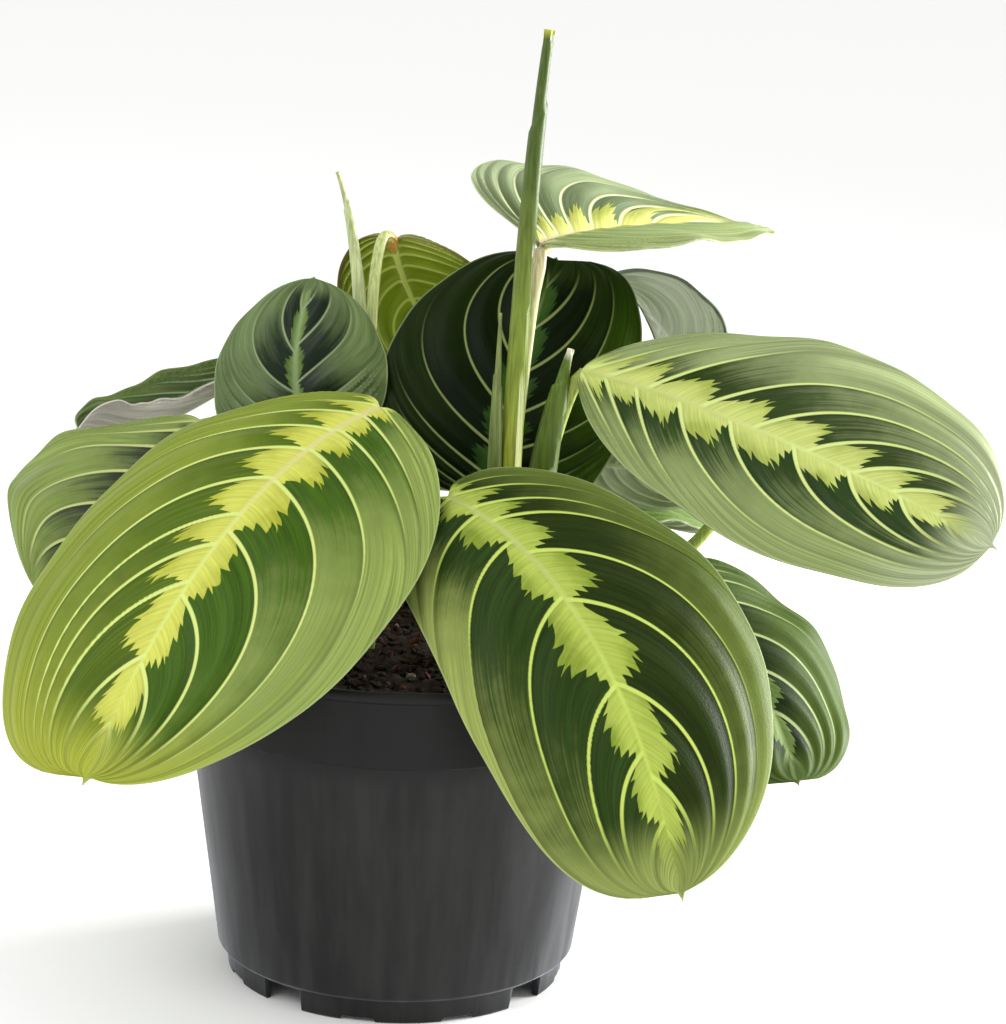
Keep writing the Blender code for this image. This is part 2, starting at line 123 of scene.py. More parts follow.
def finish_piece(name, bm, materials, node, sharp):
    """Makes the piece from its mesh, and hides the solid that it stands for."""
    mesh = bpy.data.meshes.new(name)
    bm.to_mesh(mesh)
    bm.free()
    mesh.shade_smooth()
    mesh.set_sharp_from_angle(angle=radians(sharp))
    for material in materials:
        mesh.materials.append(material)
    piece = bpy.data.objects.new(name, mesh)
    bpy.context.scene.collection.objects.link(piece)
    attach(piece, "root")
    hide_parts(node)
    return piece


def moulded_polypropylene():
    """Black polypropylene: satin, with faint upright flow marks that are partly painted
    reflection streaks, dust below its band, and painted shade on the band.

    The flow marks are 6.7 mm wide and 200 mm long, and the mould's grain is 0.4 mm.
    """
    material, tree, shader = start_material("moulded_polypropylene", {
        "IOR": 1.49, "Specular IOR Level": 0.26, "Sheen Roughness": 0.32,
        "Sheen Tint": "#C2C6D0"})
    place = add_node(tree, "TexCoord", {}).outputs["Object"]
    marks = add_node(tree, "Mapping", {"Vector": place,
                                       "Scale": (1000 / 6.7, 1000 / 6.7, 1000 / 200)})
    marks = add_node(tree, "TexNoise", {"Vector": marks, "Scale": 1.0, "Detail": 3.0,
                                        "Roughness": 0.6})
    grain = add_node(tree, "TexNoise", {"Vector": place, "Scale": 1000 / 0.4, "Detail": 2.0})
    # The light and dark streaks are partly moulded flow marks and partly painted reflection
    # streaks on the wall.
    colour = add_node(tree, "ValToRGB", (marks,), stops=((0.38, "#0A0A0A"), (0.64, "#1E1E1D")))
    height = add_node(tree, "SeparateXYZ", (place,)).outputs[2]
    clear_of_band_shade = add_node(tree, "MapRange", (height, rim_low, rim_low - 0.0060))
    # The band is painted darker: painted shade from the leaves that hang over it. Below it the
    # wall has its flow marks and dust.
    colour = add_node(tree, "Mix", {0: clear_of_band_shade, 6: "#070707", 7: colour}, data_type="RGBA")
    dust = add_node(tree, "MapRange", (marks, 0.35, 0.65, 0.25, 0.90))
    dust = add_node(tree, "Math", (dust, clear_of_band_shade), operation="MULTIPLY")
    rough = add_node(tree, "MapRange", (marks, 0.3, 0.7, 0.44, 0.56))
    bump = add_node(tree, "Bump", {"Height": grain, "Distance": 0.00002, "Strength": 0.6})
    feed(shader, {"Base Color": colour, "Sheen Weight": dust, "Roughness": rough,
                  "Normal": bump})
    return material


def foot_edge(compass):
    """Height of the foot ring's lower edge: pads, shallow recesses and open notches."""
    turn = (compass - FOOT_TURN + 45) % 90 - 45
    if abs(turn) > 45 - NOTCH_ANGLE / 2:
        return NOTCH_HEIGHT
    if abs(abs(turn) - RECESS_OFFSET) < RECESS_ANGLE / 2:
        return RECESS_HEIGHT
    return 0.0


# Half of the section: out under the floor, round the foot ring, up the wall and the band,
# over the lip, and back down the inside.
pot_section = [
    (0.0, FOOT_HEIGHT - 0.0014), (FOOT_RADIUS - 0.0024, FOOT_HEIGHT - 0.0014),
    (FOOT_RADIUS - 0.0019, FOOT_HEIGHT - 0.0018), (FOOT_RADIUS - 0.0018, 0.0005),
    (FOOT_RADIUS - 0.0015, 0.0), (FOOT_RADIUS - 0.0004, 0.0), (FOOT_RADIUS, 0.0004),
    (FOOT_RADIUS + 0.0006, foot_top), (FOOT_RADIUS + 0.0012, foot_top + 0.0007),
    (WALL_FOOT_RADIUS - 0.0006, FOOT_HEIGHT - 0.0004), (WALL_FOOT_RADIUS, FOOT_HEIGHT + 0.0004),
    ((WALL_FOOT_RADIUS + wall_top) / 2, (FOOT_HEIGHT + rim_low) / 2),
    (wall_top - 0.0001, rim_low - 0.0010), (wall_top + 0.0001, rim_low - 0.0002),
    (wall_top + RIM_STEP - 0.0003, rim_low), (wall_top + RIM_STEP, rim_low + 0.0004),
    (wall_top + RIM_STEP, rim_low + 0.0012), (POT_RADIUS - 0.0007, POT_HEIGHT - 0.0032),
    (POT_RADIUS - 0.0001, POT_HEIGHT - 0.0026), (POT_RADIUS, POT_HEIGHT - 0.0020),
    (POT_RADIUS, POT_HEIGHT - 0.0008), (POT_RADIUS - 0.0003, POT_HEIGHT - 0.0002),
    (POT_RADIUS - 0.0009, POT_HEIGHT), (POT_RADIUS - 0.0016, POT_HEIGHT - 0.0001),
    (POT_RADIUS - POT_WALL - 0.0008, POT_HEIGHT - 0.0006),
    (POT_RADIUS - POT_WALL - 0.0012, POT_HEIGHT - 0.0020), (wall_top - POT_WALL, rim_low),
    (WALL_FOOT_RADIUS - POT_WALL, FOOT_HEIGHT + 0.0014),
    (WALL_FOOT_RADIUS - POT_WALL - 0.0014, FOOT_HEIGHT), (0.0, FOOT_HEIGHT),
]
bm = bmesh.new()
section = [bm.verts.new((radius, 0.0, height)) for radius, height in pot_section]
section += [bm.edges.new(pair) for pair in zip(section, section[1:])]
bmesh.ops.spin(bm, geom=section, cent=(0, 0, 0), axis=(0, 0, 1), angle=2 * pi, steps=360,
               use_merge=True)
bmesh.ops.remove_doubles(bm, verts=bm.verts, dist=0.00001)
for vert in bm.verts:
    on_foot_ring = vert.co.xy.length > FOOT_RADIUS - 0.0021 and vert.co.z < foot_top
    if not on_foot_ring:
        continue
    edge = foot_edge(np.degrees(np.arctan2(vert.co.y, vert.co.x)))
    vert.co.z = edge + vert.co.z * (foot_top - edge) / foot_top
bmesh.ops.recalc_face_normals(bm, faces=bm.faces)
bmesh.ops.translate(bm, verts=bm.verts, vec=POT_AXIS)
pot = finish_piece("nursery_pot", bm, [moulded_polypropylene()], "pot", sharp=35)

bm = bmesh.new()
for quarter in range(4):
    compass = radians(FOOT_TURN + 90 * quarter)
    reach = FOOT_RADIUS - DRAIN_INSET
    place = Matrix.Translation(POT_AXIS + Vector((reach * cos(compass), reach * sin(compass),
                                                  FOOT_HEIGHT)))
    bmesh.ops.create_cone(bm, cap_ends=True, segments=32, radius1=DRAIN_RADIUS,
                          radius2=DRAIN_RADIUS, depth=0.010, matrix=place)
punch_mesh = bpy.data.meshes.new("drain_punch")
bm.to_mesh(punch_mesh)
bm.free()
punch = bpy.data.objects.new("drain_punch", punch_mesh)
bpy.context.scene.collection.objects.link(punch)
drains = pot.modifiers.new("drain_holes", "BOOLEAN")
drains.operation, drains.solver, drains.object = "DIFFERENCE", "EXACT", punch
bpy.context.view_layer.update()
drained = bpy.data.meshes.new_from_object(pot.evaluated_get(
    bpy.context.evaluated_depsgraph_get()))
pot.modifiers.clear()
pot.data = drained
bpy.data.objects.remove(punch)


# ---------------------------------------------------------------- peat soil
# Damp peat potting mix, pressed in by hand: a crumbly, nearly black crown, a little higher
# in the middle, that closes round the stalks.
SOIL_LEVEL = 0.0870
SOIL_CROWN = 0.0030
SOIL_CRUMB = 0.0011
SOIL_RADIUS = 0.0566
SOIL_BAND_RADIUS = 0.0555
SOIL_FOOT_RADIUS = 0.0472
CLEAR_OF_SOIL = 0.0030
HOLE_DEPTH = 0.0120
HILLS_PER_METRE, LUMPS_PER_METRE, FIBRES_PER_METRE = 160, 330, 420
CRUMBS = 900


def soil_height(x, y):
    """Height of the crumbly crown at a place in the pot, seen from the pot's axis."""
    reach = min(1.0, (x * x + y * y) ** 0.5 / SOIL_RADIUS)
    hills = noise.noise(Vector((x, y, 0.0)) * HILLS_PER_METRE)
    lumps = noise.noise(Vector((x, y, 0.3)) * LUMPS_PER_METRE)
    return SOIL_LEVEL + SOIL_CROWN * (1 - reach ** 2) + SOIL_CRUMB * (hills + 0.6 * lumps)


def damp_peat(name, dark, light, rough):
    """Peat fibre and bark, damp: dark and dull, in lighter and darker patches.

    The tones change over 2.4 mm, and the fibres in the relief are 0.55 mm wide.
    """
    material, tree, shader = start_material(name, {"Roughness": rough, "IOR": 1.4})
    place = add_node(tree, "TexCoord", {}).outputs["Object"]
    coarse = add_node(tree, "TexNoise", {"Vector": place, "Scale": 1000 / 2.4, "Detail": 5.0,
                                         "Roughness": 0.7})
    colour = add_node(tree, "ValToRGB", (coarse,), stops=((0.38, dark), (0.72, light)))
    fine = add_node(tree, "TexNoise", {"Vector": place, "Scale": 1000 / 0.55, "Detail": 3.0})
    bump = add_node(tree, "Bump", {"Height": fine, "Distance": 0.0004, "Strength": 0.8})
    feed(shader, {"Base Color": colour, "Normal": bump})
    return material


bm = bmesh.new()
section = [bm.verts.new((SOIL_RADIUS * k / 80, 0.0, 0.0)) for k in range(81)]
section += [bm.edges.new(pair) for pair in zip(section, section[1:])]
bmesh.ops.spin(bm, geom=section, cent=(0, 0, 0), axis=(0, 0, 1), angle=2 * pi, steps=240,
               use_merge=True)
bmesh.ops.remove_doubles(bm, verts=bm.verts, dist=0.000001)
for vert in bm.verts:
    fibres = noise.fractal(Vector((vert.co.x, vert.co.y, 0.7)) * FIBRES_PER_METRE, 0.8, 2.1, 4)
    vert.co.z = soil_height(vert.co.x, vert.co.y) + 0.0006 * fibres
# From the crown's rim the soil goes down inside the pot, and closes on its floor.
rim = [edge for edge in bm.edges if edge.is_boundary]
for radius, height in ((SOIL_BAND_RADIUS, rim_low), (SOIL_FOOT_RADIUS, FOOT_HEIGHT + 0.0015)):
    grown = bmesh.ops.extrude_edge_only(bm, edges=rim)["geom"]
    rim = [part for part in grown if isinstance(part, bmesh.types.BMEdge)]
    for vert in {vert for edge in rim for vert in edge.verts}:
        vert.co.xy = vert.co.xy.normalized() * radius
        vert.co.z = height
bmesh.ops.edgeloop_fill(bm, edges=rim)
bmesh.ops.recalc_face_normals(bm, faces=bm.faces)
bmesh.ops.translate(bm, verts=bm.verts, vec=POT_AXIS)
peat = damp_peat("damp_peat", "#140C08", "#3E2517", 0.85)
finish_piece("soil_crown", bm, [peat], "soil", sharp=80)

# Loose crumbs on the crown: most are peat, every fifth is bark and every sixtieth grit.
bm = bmesh.new()
rng = np.random.default_rng(7)
for crumb in range(CRUMBS):
    compass, reach = rng.uniform(0, 2 * pi), (SOIL_RADIUS - 0.0025) * rng.uniform(0, 1) ** 0.5
    x, y = reach * cos(compass), reach * sin(compass)
    size = rng.uniform(0.0004, 0.0012)
    place = (Matrix.Translation(POT_AXIS + Vector((x, y, soil_height(x, y) + size * 0.5)))
             @ Matrix.Rotation(rng.uniform(0, 2 * pi), 4, Vector(rng.normal(size=3)))
             @ Matrix.Diagonal((size * rng.uniform(0.8, 2.2), size, size * 0.7, 1.0)))
    lump = bmesh.ops.create_icosphere(bm, subdivisions=1, radius=1.0, matrix=place)["verts"]
    kind = 0 if crumb % 5 else 1
    for face in {face for vert in lump for face in vert.link_faces}:
        face.material_index = 2 if crumb % 60 == 0 else kind
bark = damp_peat("pine_bark", "#34190E", "#744026", 0.8)
grit = damp_peat("pale_grit", "#6E6250", "#B9AE96", 0.8)
finish_piece("soil_crumbs", bm, [peat, bark, grit], "soil", sharp=30)


# ---------------------------------------------------------------- leaf blades
# Each blade is one thin living sheet, quilted between the veins that leave its midrib in
# turn, left and right, and run forward beside its edge.
BLADE_THICKNESS = 0.0007
KEEL_DEPTH = 0.0010
WAVES = 2.5
POINT_WIDTH = 0.05
RIPPLE = 0.00028
QUILTING = 0.00105
VEIN_BEND = 0.115
VEINS_BEFORE, VEINS_AFTER = 16, 11
SPACING_BEFORE, SPACING_AFTER = 0.09, 0.10
RIGHT_COUNT, LEFT_COUNT, BETWEEN_COUNTS = 20.0, 120.0, 90.0
VEIN_STARTS = (0.05, 0.13, 0.22, 0.33, 0.46, 0.60, 0.74, 0.87)
FEW_VEINS = ((0.07, 0.20, 0.36, 0.54, 0.73, 0.90), (0.06, 0.18, 0.33, 0.51, 0.70, 0.88))
# What a leaf has unless it says otherwise. left and right scale its halves, and their forms
# say how blunt the base and the tip are. lean draws the base back and the tip forward. The
# pairs in fold, curl, veins, slant, dark, margin and dark_reach are for the left and right.
# On some leaves the dark and margin tones of the two halves differ partly as painted sheen and
# painted shade, by how the light falls on each half.
PLAIN_LEAF = dict(left=1.0, right=1.0, left_form=(0.46, 0.42), right_form=(0.46, 0.42),
                  lean=(0.0, 0.0), fold=(0, 0), curl=(0, 0), wave=0.0006,
                  veins=(VEIN_STARTS, VEIN_STARTS), slant=(0.14, 0.14), vein_mm=0.55,
                  feather="#7E924E", feather_deep="#62763A", vein="#AAB67E",
                  dark_reach=(0.62, 0.62), shine=0.13, under=("#76845A", "#9AA47C"),
                  stalk="green")
LEAVES = (
    dict(name="leaf_front_left", foot=(-0.010, 0.000), bow=(-0.008, 0.006, 0.135),
         joint=(-0.008, -0.008, 0.159), mid=(-0.045, -0.045, 0.132), tip=(-0.077, -0.076, 0.073),
         face=(-105, 42), width=0.092, left=1.12, right=1.06, fold=(4, -2), curl=(16, 30),
         left_form=(0.76, 0.72), right_form=(0.70, 0.38), lean=(0.52, 0.33), wave=0.0010,
         veins=((0.06, 0.14, 0.23, 0.345, 0.495, 0.65, 0.79, 0.90),
                (0.15, 0.235, 0.34, 0.45, 0.53, 0.62, 0.775, 0.90)), slant=(0.085, 0.20),
         feather="#C2C658", feather_deep="#A0A634", vein="#C8D67A", rib="#CDC68C",
         dark=("#365406", "#485E08"), margin=("#7F9048", "#7A8930"), tip_tone="#A0A736",
         dark_reach=(0.66, 0.58), feather_mm=9.2, shine=0.15),
    dict(name="leaf_front_right", foot=(0.018, -0.014), bow=(0.015, -0.010, 0.125),
         joint=(0.011, -0.028, 0.140), mid=(0.049, -0.061, 0.112), tip=(0.074, -0.086, 0.052),
         face=(-85, 40), width=0.086, left=1.02, right=0.90, fold=(-2, 3), curl=(24, 16),
         left_form=(0.80, 0.58), right_form=(0.45, 0.32), lean=(0.80, 0.0), wave=0.0010,
         veins=((0.07, 0.135, 0.255, 0.40, 0.605, 0.79), (0.10, 0.21, 0.39, 0.61, 0.745, 0.87)),
         slant=(0.20, 0.085),
         feather="#A2B24E", feather_deep="#7C8E30", vein="#B9CC62", rib="#B0BA70",
         dark=("#202E08", "#263A10"), margin=("#5C6C2E", "#86924C"), tip_tone="#84904E",
         dark_reach=(0.78, 0.82), feather_mm=8.8, shine=0.10),
    dict(name="leaf_right", foot=(0.032, 0.004), bow=(0.036, 0.004, 0.150),
         joint=(0.045, -0.002, 0.170), mid=(0.098, -0.018, 0.156), tip=(0.153, -0.040, 0.134),
         face=(-80, 42), width=0.074, left=1.08, right=0.90, fold=(2, 4), curl=(18, 14),
         left_form=(0.82, 0.50), right_form=(0.54, 0.41), wave=0.0010,
         veins=((0.06, 0.165, 0.30, 0.43, 0.56, 0.67, 0.76),
                (0.06, 0.14, 0.25, 0.375, 0.53, 0.66, 0.78)),
         slant=(0.20, 0.085),
         feather="#BCC670", feather_deep="#98A54C", vein="#CAD886", rib="#BCC47A",
         dark=("#2A3A12", "#20360A"), margin=("#919E6C", "#86955C"), tip_tone="#B2BA9A",
         dark_reach=(0.55, 0.62), feather_mm=8.4, shine=0.16),
    dict(name="leaf_low_right", foot=(0.040, -0.014), bow=(0.048, -0.010, 0.112),
         joint=(0.067, -0.014, 0.117), mid=(0.090, -0.028, 0.099), tip=(0.105, -0.048, 0.071),
         face=(-60, 45), width=0.066, left_form=(0.44, 0.42), right_form=(0.50, 0.40),
         curl=(26, 20), wave=0.0015,
         feather="#71874A", feather_deep="#5A7038", vein="#9FAE74",
         dark=("#16240A", "#16240A"), margin=("#485A26", "#485A26"), dark_reach=(0.42, 0.42),
         veins=FEW_VEINS, slant=(0.18, 0.18), feather_mm=4.6, shine=0.07),
    dict(name="leaf_centre", foot=(0.020, 0.014), bow=(0.022, 0.017, 0.115),
         joint=(0.021, 0.010, 0.132), mid=(0.028, 0.024, 0.162), tip=(0.038, 0.046, 0.193),
         face=(-92, 12), width=0.073, right=0.89, left_form=(0.60, 0.70),
         right_form=(0.34, 0.31), lean=(0.30, 0.42), fold=(5, 5), curl=(14, 14),
         veins=FEW_VEINS, slant=(0.26, 0.26),
         feather="#34501C", feather_deep="#223A12", vein="#828F56", rib="#8E966A",
         dark=("#0B1604", "#0B1604"), margin=("#1A280A", "#2C4208"), feather_mm=6.0,
         vein_mm=0.40, shine=0.07),
    dict(name="leaf_left", foot=(-0.020, 0.015), bow=(-0.024, 0.018, 0.120),
         joint=(-0.030, 0.016, 0.147), mid=(-0.033, 0.022, 0.167), tip=(-0.029, 0.032, 0.187),
         face=(-98, 15), width=0.049, right=1.04, left_form=(0.36, 0.76),
         right_form=(0.28, 0.41), lean=(0.33, 0.12), curl=(22, 22),
         veins=((0.04, 0.24, 0.50, 0.76), (0.06, 0.30, 0.55, 0.80)), slant=(0.42, 0.42),
         feather="#68803E", feather_deep="#46602C", vein="#83956A",
         dark=("#10200E", "#10200E"), margin=("#5C6E42", "#5E7040"), dark_reach=(0.42, 0.50),
         feather_mm=2.5, vein_mm=0.30, shine=0.20),
    dict(name="shoot_back_left", foot=(-0.013, 0.036), bow=(-0.016, 0.032, 0.216),
         joint=(-0.008, 0.050, 0.196), mid=(-0.002, 0.064, 0.176), tip=(0.012, 0.087, 0.149),
         face=(80, 25), width=0.057, left=0.75, right=1.10, left_form=(0.52, 0.42),
         right_form=(0.64, 0.42), lean=(0.42, 0.0), curl=(20, 20),
         feather="#A6B44A", feather_deep="#849230", vein="#C4CC84",
         dark=("#2A4A12", "#2A4A12"), margin=("#647E30", "#647E30"), feather_mm=5.0,
         under=("#7C8E18", "#C0C864"), under_rim="#665222", stalk="tan_joint"),
    dict(name="shoot_tall", foot=(0.026, -0.008), bow=(0.027, -0.004, 0.150),
         joint=(0.033, 0.002, 0.203), mid=(0.057, 0.031, 0.204), tip=(0.095, 0.060, 0.202),
         face=(-90, 86), width=0.078, left=0.78, left_form=(0.40, 1.40),
         right_form=(0.40, 0.50), lean=(0.40, 0.0), fold=(38, 7), curl=(10, 4),
         feather="#C6C970", feather_deep="#A3AA4C", vein="#D2D6A6", rib="#D2B89E",
         dark=("#5E6E48", "#84985A"), margin=("#8B9870", "#95A566"), dark_reach=(0.70, 0.50),
         feather_mm=6.6, under=("#8E9A6A", "#B4BC8A"), stalk="cream"),
    dict(name="leaf_back_right", foot=(0.048, 0.018), bow=(0.112, 0.008, 0.120),
         joint=(0.080, 0.041, 0.160), mid=(0.071, 0.051, 0.172), tip=(0.061, 0.069, 0.179),
         face=(95, 30), width=0.045, curl=(26, 26),
         dark=("#1C3018", "#1C3018"), margin=("#384F2A", "#384F2A"), feather_mm=4.0,
         under=("#BCC1AE", "#C8CCBC"), under_rim="#32441C"),
    dict(name="leaf_low_left", foot=(-0.028, 0.002), bow=(-0.038, 0.018, 0.150),
         joint=(-0.058, 0.015, 0.149), mid=(-0.073, -0.004, 0.129), tip=(-0.098, -0.024, 0.109),
         face=(-105, 45), width=0.062, left=0.9, right=1.42, left_form=(0.50, 0.40),
         right_form=(0.95, 0.78), lean=(0.40, 0.0), curl=(20, 24), wave=0.0020,
         veins=FEW_VEINS, slant=(0.20, 0.20),
         feather="#7A8E4E", vein="#B2BC78",
         dark=("#16240E", "#16240E"), margin=("#768842", "#768842"), dark_reach=(0.36, 0.36),
         feather_mm=3.4, vein_mm=0.60, shine=0.24),
    dict(name="leaf_far_left", foot=(-0.022, 0.042), bow=(-0.023, 0.052, 0.138),
         joint=(-0.046, 0.054, 0.159), mid=(-0.074, 0.049, 0.141), tip=(-0.095, 0.035, 0.141),
         face=(-90, 88), width=0.040, right=0.80, left_form=(1.20, 0.34),
         right_form=(0.56, 0.66), lean=(0.0, 0.45), fold=(37, 34),
         veins=FEW_VEINS, slant=(0.40, 0.40), feather="#7A8E4E", vein="#7B8B69",
         dark=("#34461E", "#34461E"), margin=("#596A36", "#596A36"), feather_mm=2.4,
         vein_mm=0.35, under=("#B5B0A8", "#BDB9B0")),
    dict(name="leaf_mid_right", foot=(0.036, 0.020), bow=(0.038, 0.020, 0.120),
         joint=(0.044, 0.030, 0.138), mid=(0.063, 0.035, 0.136), tip=(0.086, 0.036, 0.130),
         face=(90, 35), width=0.032,
         dark=("#243C1C", "#243C1C"), margin=("#4D6833", "#4D6833"), feather_mm=3.0),
    dict(name="leaf_rear", foot=(0.006, 0.032), bow=(0.006, 0.034, 0.120),
         joint=(0.004, 0.042, 0.134), mid=(-0.002, 0.080, 0.132), tip=(-0.007, 0.118, 0.110),
         face=(92, 70), width=0.074, left_form=(0.66, 0.50), right_form=(0.60, 0.46),
         lean=(0.40, 0.05), curl=(24, 24), wave=0.0010,
         feather="#AFC24C", feather_deep="#8DA034", vein="#CCD694", rib="#DEDAB0",
         dark=("#2A4A14", "#2A4A14"), margin=("#6A8038", "#6A8038"), feather_mm=7.0),
    dict(name="leaf_rear_left", foot=(-0.032, 0.022), bow=(-0.036, 0.028, 0.115),
         joint=(-0.048, 0.042, 0.122), mid=(-0.073, 0.068, 0.119), tip=(-0.096, 0.092, 0.098),
         face=(125, 70), width=0.068, left_form=(0.60, 0.46), right_form=(0.66, 0.52),
         lean=(0.40, 0.05), curl=(24, 24), wave=0.0010,
         feather="#A3B550", feather_deep="#7F9232", vein="#C6D088", rib="#DAD6A8",
         dark=("#24401A", "#24401A"), margin=("#5E7636", "#5E7636"), feather_mm=6.5),
    dict(name="leaf_rear_right", foot=(0.040, 0.032), bow=(0.042, 0.036, 0.115),
         joint=(0.037, 0.050, 0.116), mid=(0.055, 0.082, 0.118), tip=(0.066, 0.110, 0.104),
         face=(70, 70), width=0.066, left_form=(0.62, 0.48), right_form=(0.66, 0.44),
         lean=(0.40, 0.05), curl=(24, 24), wave=0.0010,
         feather="#A9BB4E", feather_deep="#869932", vein="#C9D38C", rib="#DAD6A8",
         dark=("#284618", "#284618"), margin=("#647C38", "#647C38"), feather_mm=6.5),
)


def half_width(t, form):
    """Share of the half width at t along the midrib: blunt at the base, a point at the tip."""
    # The round outline closes just before the tip, and a narrow point goes on.
    base, tip = form
    s = np.minimum(1.0, t / 0.985)
    widest = base / (base + tip)
    share = s ** base * (1 - s) ** tip / (widest ** base * (1 - widest) ** tip)
    point = np.where(t > 0.90, POINT_WIDTH * np.minimum(1.0, (1 - t) / 0.03), 0.0)
    return np.maximum(share, point)


def face_of(leaf):
    """The direction that the blade's upper side faces."""
    compass, tilt = (radians(angle) for angle in leaf["face"])
    return cos(tilt) * cos(compass), cos(tilt) * sin(compass), sin(tilt)


def blade_places(leaf, t, u):
    """Places on the blade: t runs from joint to tip, u from -1 at the right edge to 1."""
    joint, mid, tip = (np.array(leaf[key]) for key in ("joint", "mid", "tip"))
    pull = 2 * mid - (joint + tip) / 2
    s = t[:, None]
    centre = joint * (1 - s) ** 2 + 2 * pull * s * (1 - s) + tip * s ** 2
    ahead = (pull - joint) * (1 - s) + (tip - pull) * s
    ahead /= np.linalg.norm(ahead, axis=1)[:, None]
    left = np.cross(face_of(leaf), ahead)
    left /= np.linalg.norm(left, axis=1)[:, None]
    up = np.cross(ahead, left)
    on_left = u >= 0
    shape_left = half_width(t, leaf["left_form"]) * leaf["left"]
    shape_right = half_width(t, leaf["right_form"]) * leaf["right"]
    reach = leaf["width"] / 2 * np.abs(u) * np.where(on_left, shape_left, shape_right)
    slope = np.where(on_left, *leaf["fold"]) - np.where(on_left, *leaf["curl"]) * np.abs(u) / 2
    slope = np.radians(slope)
    # The margins wave out of step on the two sides, with finer ripples on top.
    phase = WAVES * t + np.where(on_left, 0.0, 0.37)
    rise = leaf["wave"] * u * u * np.sin(2 * pi * phase) * np.maximum(0.0, np.sin(pi * t)) ** 0.5
    ripple = np.sin(2 * pi * (1.7 * t + 1.3 * phase)) + 0.7 * np.sin(2 * pi * (4.3 * t - phase))
    rise += RIPPLE * ripple * np.abs(u) ** 3 * np.minimum(1.0, 6 * (1 - t))
    reach *= 1 + 0.003 * ripple * np.abs(u) ** 3 * np.minimum(1.0, 4 * (1 - t))
    sideways = left * (reach * np.cos(slope) * np.where(on_left, 1, -1))[:, None]
    back, forward = leaf["lean"]
    sideways += ahead * (reach * (forward * t ** 4 - back * (1 - t) ** 4))[:, None]
    return centre + sideways + up * (reach * np.sin(slope) + rise)[:, None]


def vein_turn(leaf, t, u):
    """Counts the veins from the joint on: a whole number on a vein, one half between two.

    A vein leaves the midrib at its start and slants ahead, then bends to run beside the edge,
    nearer to it the closer to the joint it starts. The start of the vein through a place is
    found by halving.
    """
    slant = np.where(u >= 0, *leaf["slant"])
    low, high = np.full(len(t), -1.5), np.ones(len(t))
    for halving in range(18):
        start = (low + high) / 2
        furthest = np.minimum(1.2, 0.52 * np.maximum(start, 0.02) ** -0.45)
        share = np.minimum(0.97, np.abs(u) / furthest)
        beyond = start + slant * share + VEIN_BEND * share ** 2 / (1 - share) ** 0.65 > t
        low, high = np.where(beyond, low, start), np.where(beyond, start, high)
    counts = []
    for starts in leaf["veins"]:
        places = [starts[0] - SPACING_BEFORE * k for k in range(VEINS_BEFORE, 0, -1)]
        places += starts
        places += [starts[-1] + SPACING_AFTER * k for k in range(1, VEINS_AFTER + 1)]
        counts.append(np.interp(start, places, np.arange(len(places)) - VEINS_BEFORE))
    return np.where(u >= 0, *counts)


def vein_gap(leaf, t, u):
    """Distance between one vein and the next, in millimetres."""
    step = 0.004
    t = np.clip(t, 2 * step, 1 - 2 * step)
    side = np.where(u >= 0, 1.0, -1.0)
    v = np.clip(np.abs(u), 2 * step, 1 - 2 * step)
    ahead = blade_places(leaf, t + step, v * side) - blade_places(leaf, t - step, v * side)
    out = blade_places(leaf, t, (v + step) * side) - blade_places(leaf, t, (v - step) * side)
    rise_t = vein_turn(leaf, t + step, v * side) - vein_turn(leaf, t - step, v * side)
    rise_v = vein_turn(leaf, t, (v + step) * side) - vein_turn(leaf, t, (v - step) * side)
    # The blade's own measure turns the rise per step into a rise per metre across the veins.
    e, f, g = (ahead ** 2).sum(1), (ahead * out).sum(1), (out ** 2).sum(1)
    steep = g * rise_t ** 2 - 2 * f * rise_t * rise_v + e * rise_v ** 2
    return 1000 * np.sqrt(np.maximum(e * g - f * f, 1e-16) / np.maximum(steep, 1e-16))


